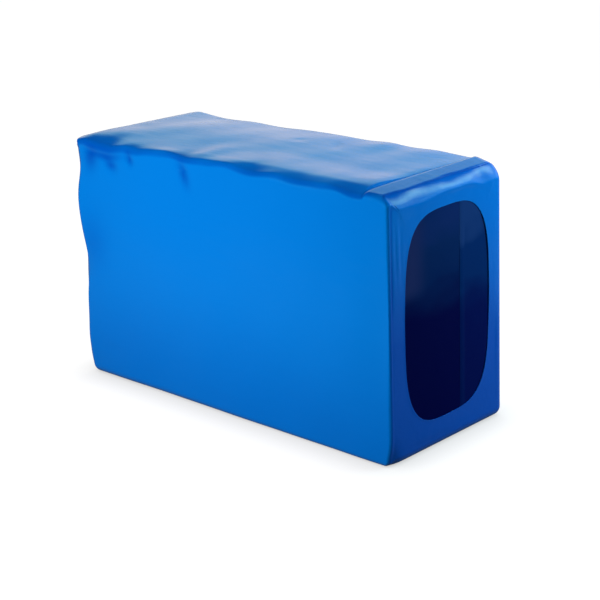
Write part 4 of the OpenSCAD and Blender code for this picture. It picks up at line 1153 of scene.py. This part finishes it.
room = bpy.data.worlds.new("room")
bpy.context.scene.world = room
room.use_nodes = True
room_tree = room.node_tree
room_paint = room_tree.nodes["Background"]
room_way = room_tree.nodes.new("ShaderNodeTexCoord").outputs["Generated"]
room_axes = room_tree.nodes.new("ShaderNodeSeparateXYZ")
room_tree.links.new(room_way, room_axes.inputs["Vector"])
room_up = room_axes.outputs["Z"]
room_overhead = smooth_share(room_tree, room_up, up_at(room_white_up_to), up_at(room_dim_from))
room_low = blended(room_tree, "MULTIPLY_ADD", room_overhead, room_dim - 1.0, 1.0)
room_side = room_tree.nodes.new("ShaderNodeVectorMath")
room_side.operation = "DOT_PRODUCT"
room_side.inputs[1].default_value = room_dark_way
room_tree.links.new(room_way, room_side.inputs[0])
room_lit = smooth_share(room_tree, room_side.outputs["Value"], room_dark_to, room_dark_from)
room_mirror = blended(room_tree, "MULTIPLY", room_low, room_lit)
room_rays = room_tree.nodes.new("ShaderNodeLightPath").outputs
room_seen = blended(room_tree, "MAXIMUM", room_rays["Is Camera Ray"], room_rays["Is Transmission Ray"])
room_glossy = blended(room_tree, "MULTIPLY", room_rays["Is Glossy Ray"], room_mirror)
room_shown = blended(room_tree, "MAXIMUM", room_seen, room_glossy)
room_diffuse = blended(room_tree, "MULTIPLY", room_rays["Is Diffuse Ray"], room_light)
room_tree.links.new(blended(room_tree, "MAXIMUM", room_shown, room_diffuse), room_paint.inputs["Strength"])
room_high = smooth_share(room_tree, room_up, up_at(room_cool_from), up_at(room_cool_to))
room_tint = blended(room_tree, "MULTIPLY", room_rays["Is Glossy Ray"], room_high)
room_tree.links.new(mixed(room_tree, room_tint, room_white, room_cool), room_paint.inputs["Color"])

# Camera
# A long lens a metre off, looking down on the near long side and the front end, tilted by two degrees.
eye = np.array([0.66685, -0.6896, 0.3767])
aim = np.array([0.01495, 0.0, 0.0643])
focal_pixels, frame_pixels = 1601.0, 600.0
tilt = math.radians(-2.08)
back = (eye - aim) / np.linalg.norm(eye - aim)
right = np.cross(-back, (0.0, 0.0, 1.0))
right /= np.linalg.norm(right)
rise = np.cross(right, -back)
stand = np.identity(4)
stand[:3, 0] = math.cos(tilt) * right + math.sin(tilt) * rise
stand[:3, 1] = math.cos(tilt) * rise - math.sin(tilt) * right
stand[:3, 2] = back
stand[:3, 3] = eye
lens = bpy.data.cameras.new("camera")
lens.sensor_width = 36.0
lens.lens = focal_pixels / frame_pixels * lens.sensor_width
lens.clip_end = 20.0
camera = bpy.data.objects.new("camera", lens)
bpy.context.scene.collection.objects.link(camera)
camera.matrix_world = Matrix(stand.tolist())
bpy.context.scene.camera = camera
bpy.context.scene.view_settings.view_transform = "Standard"
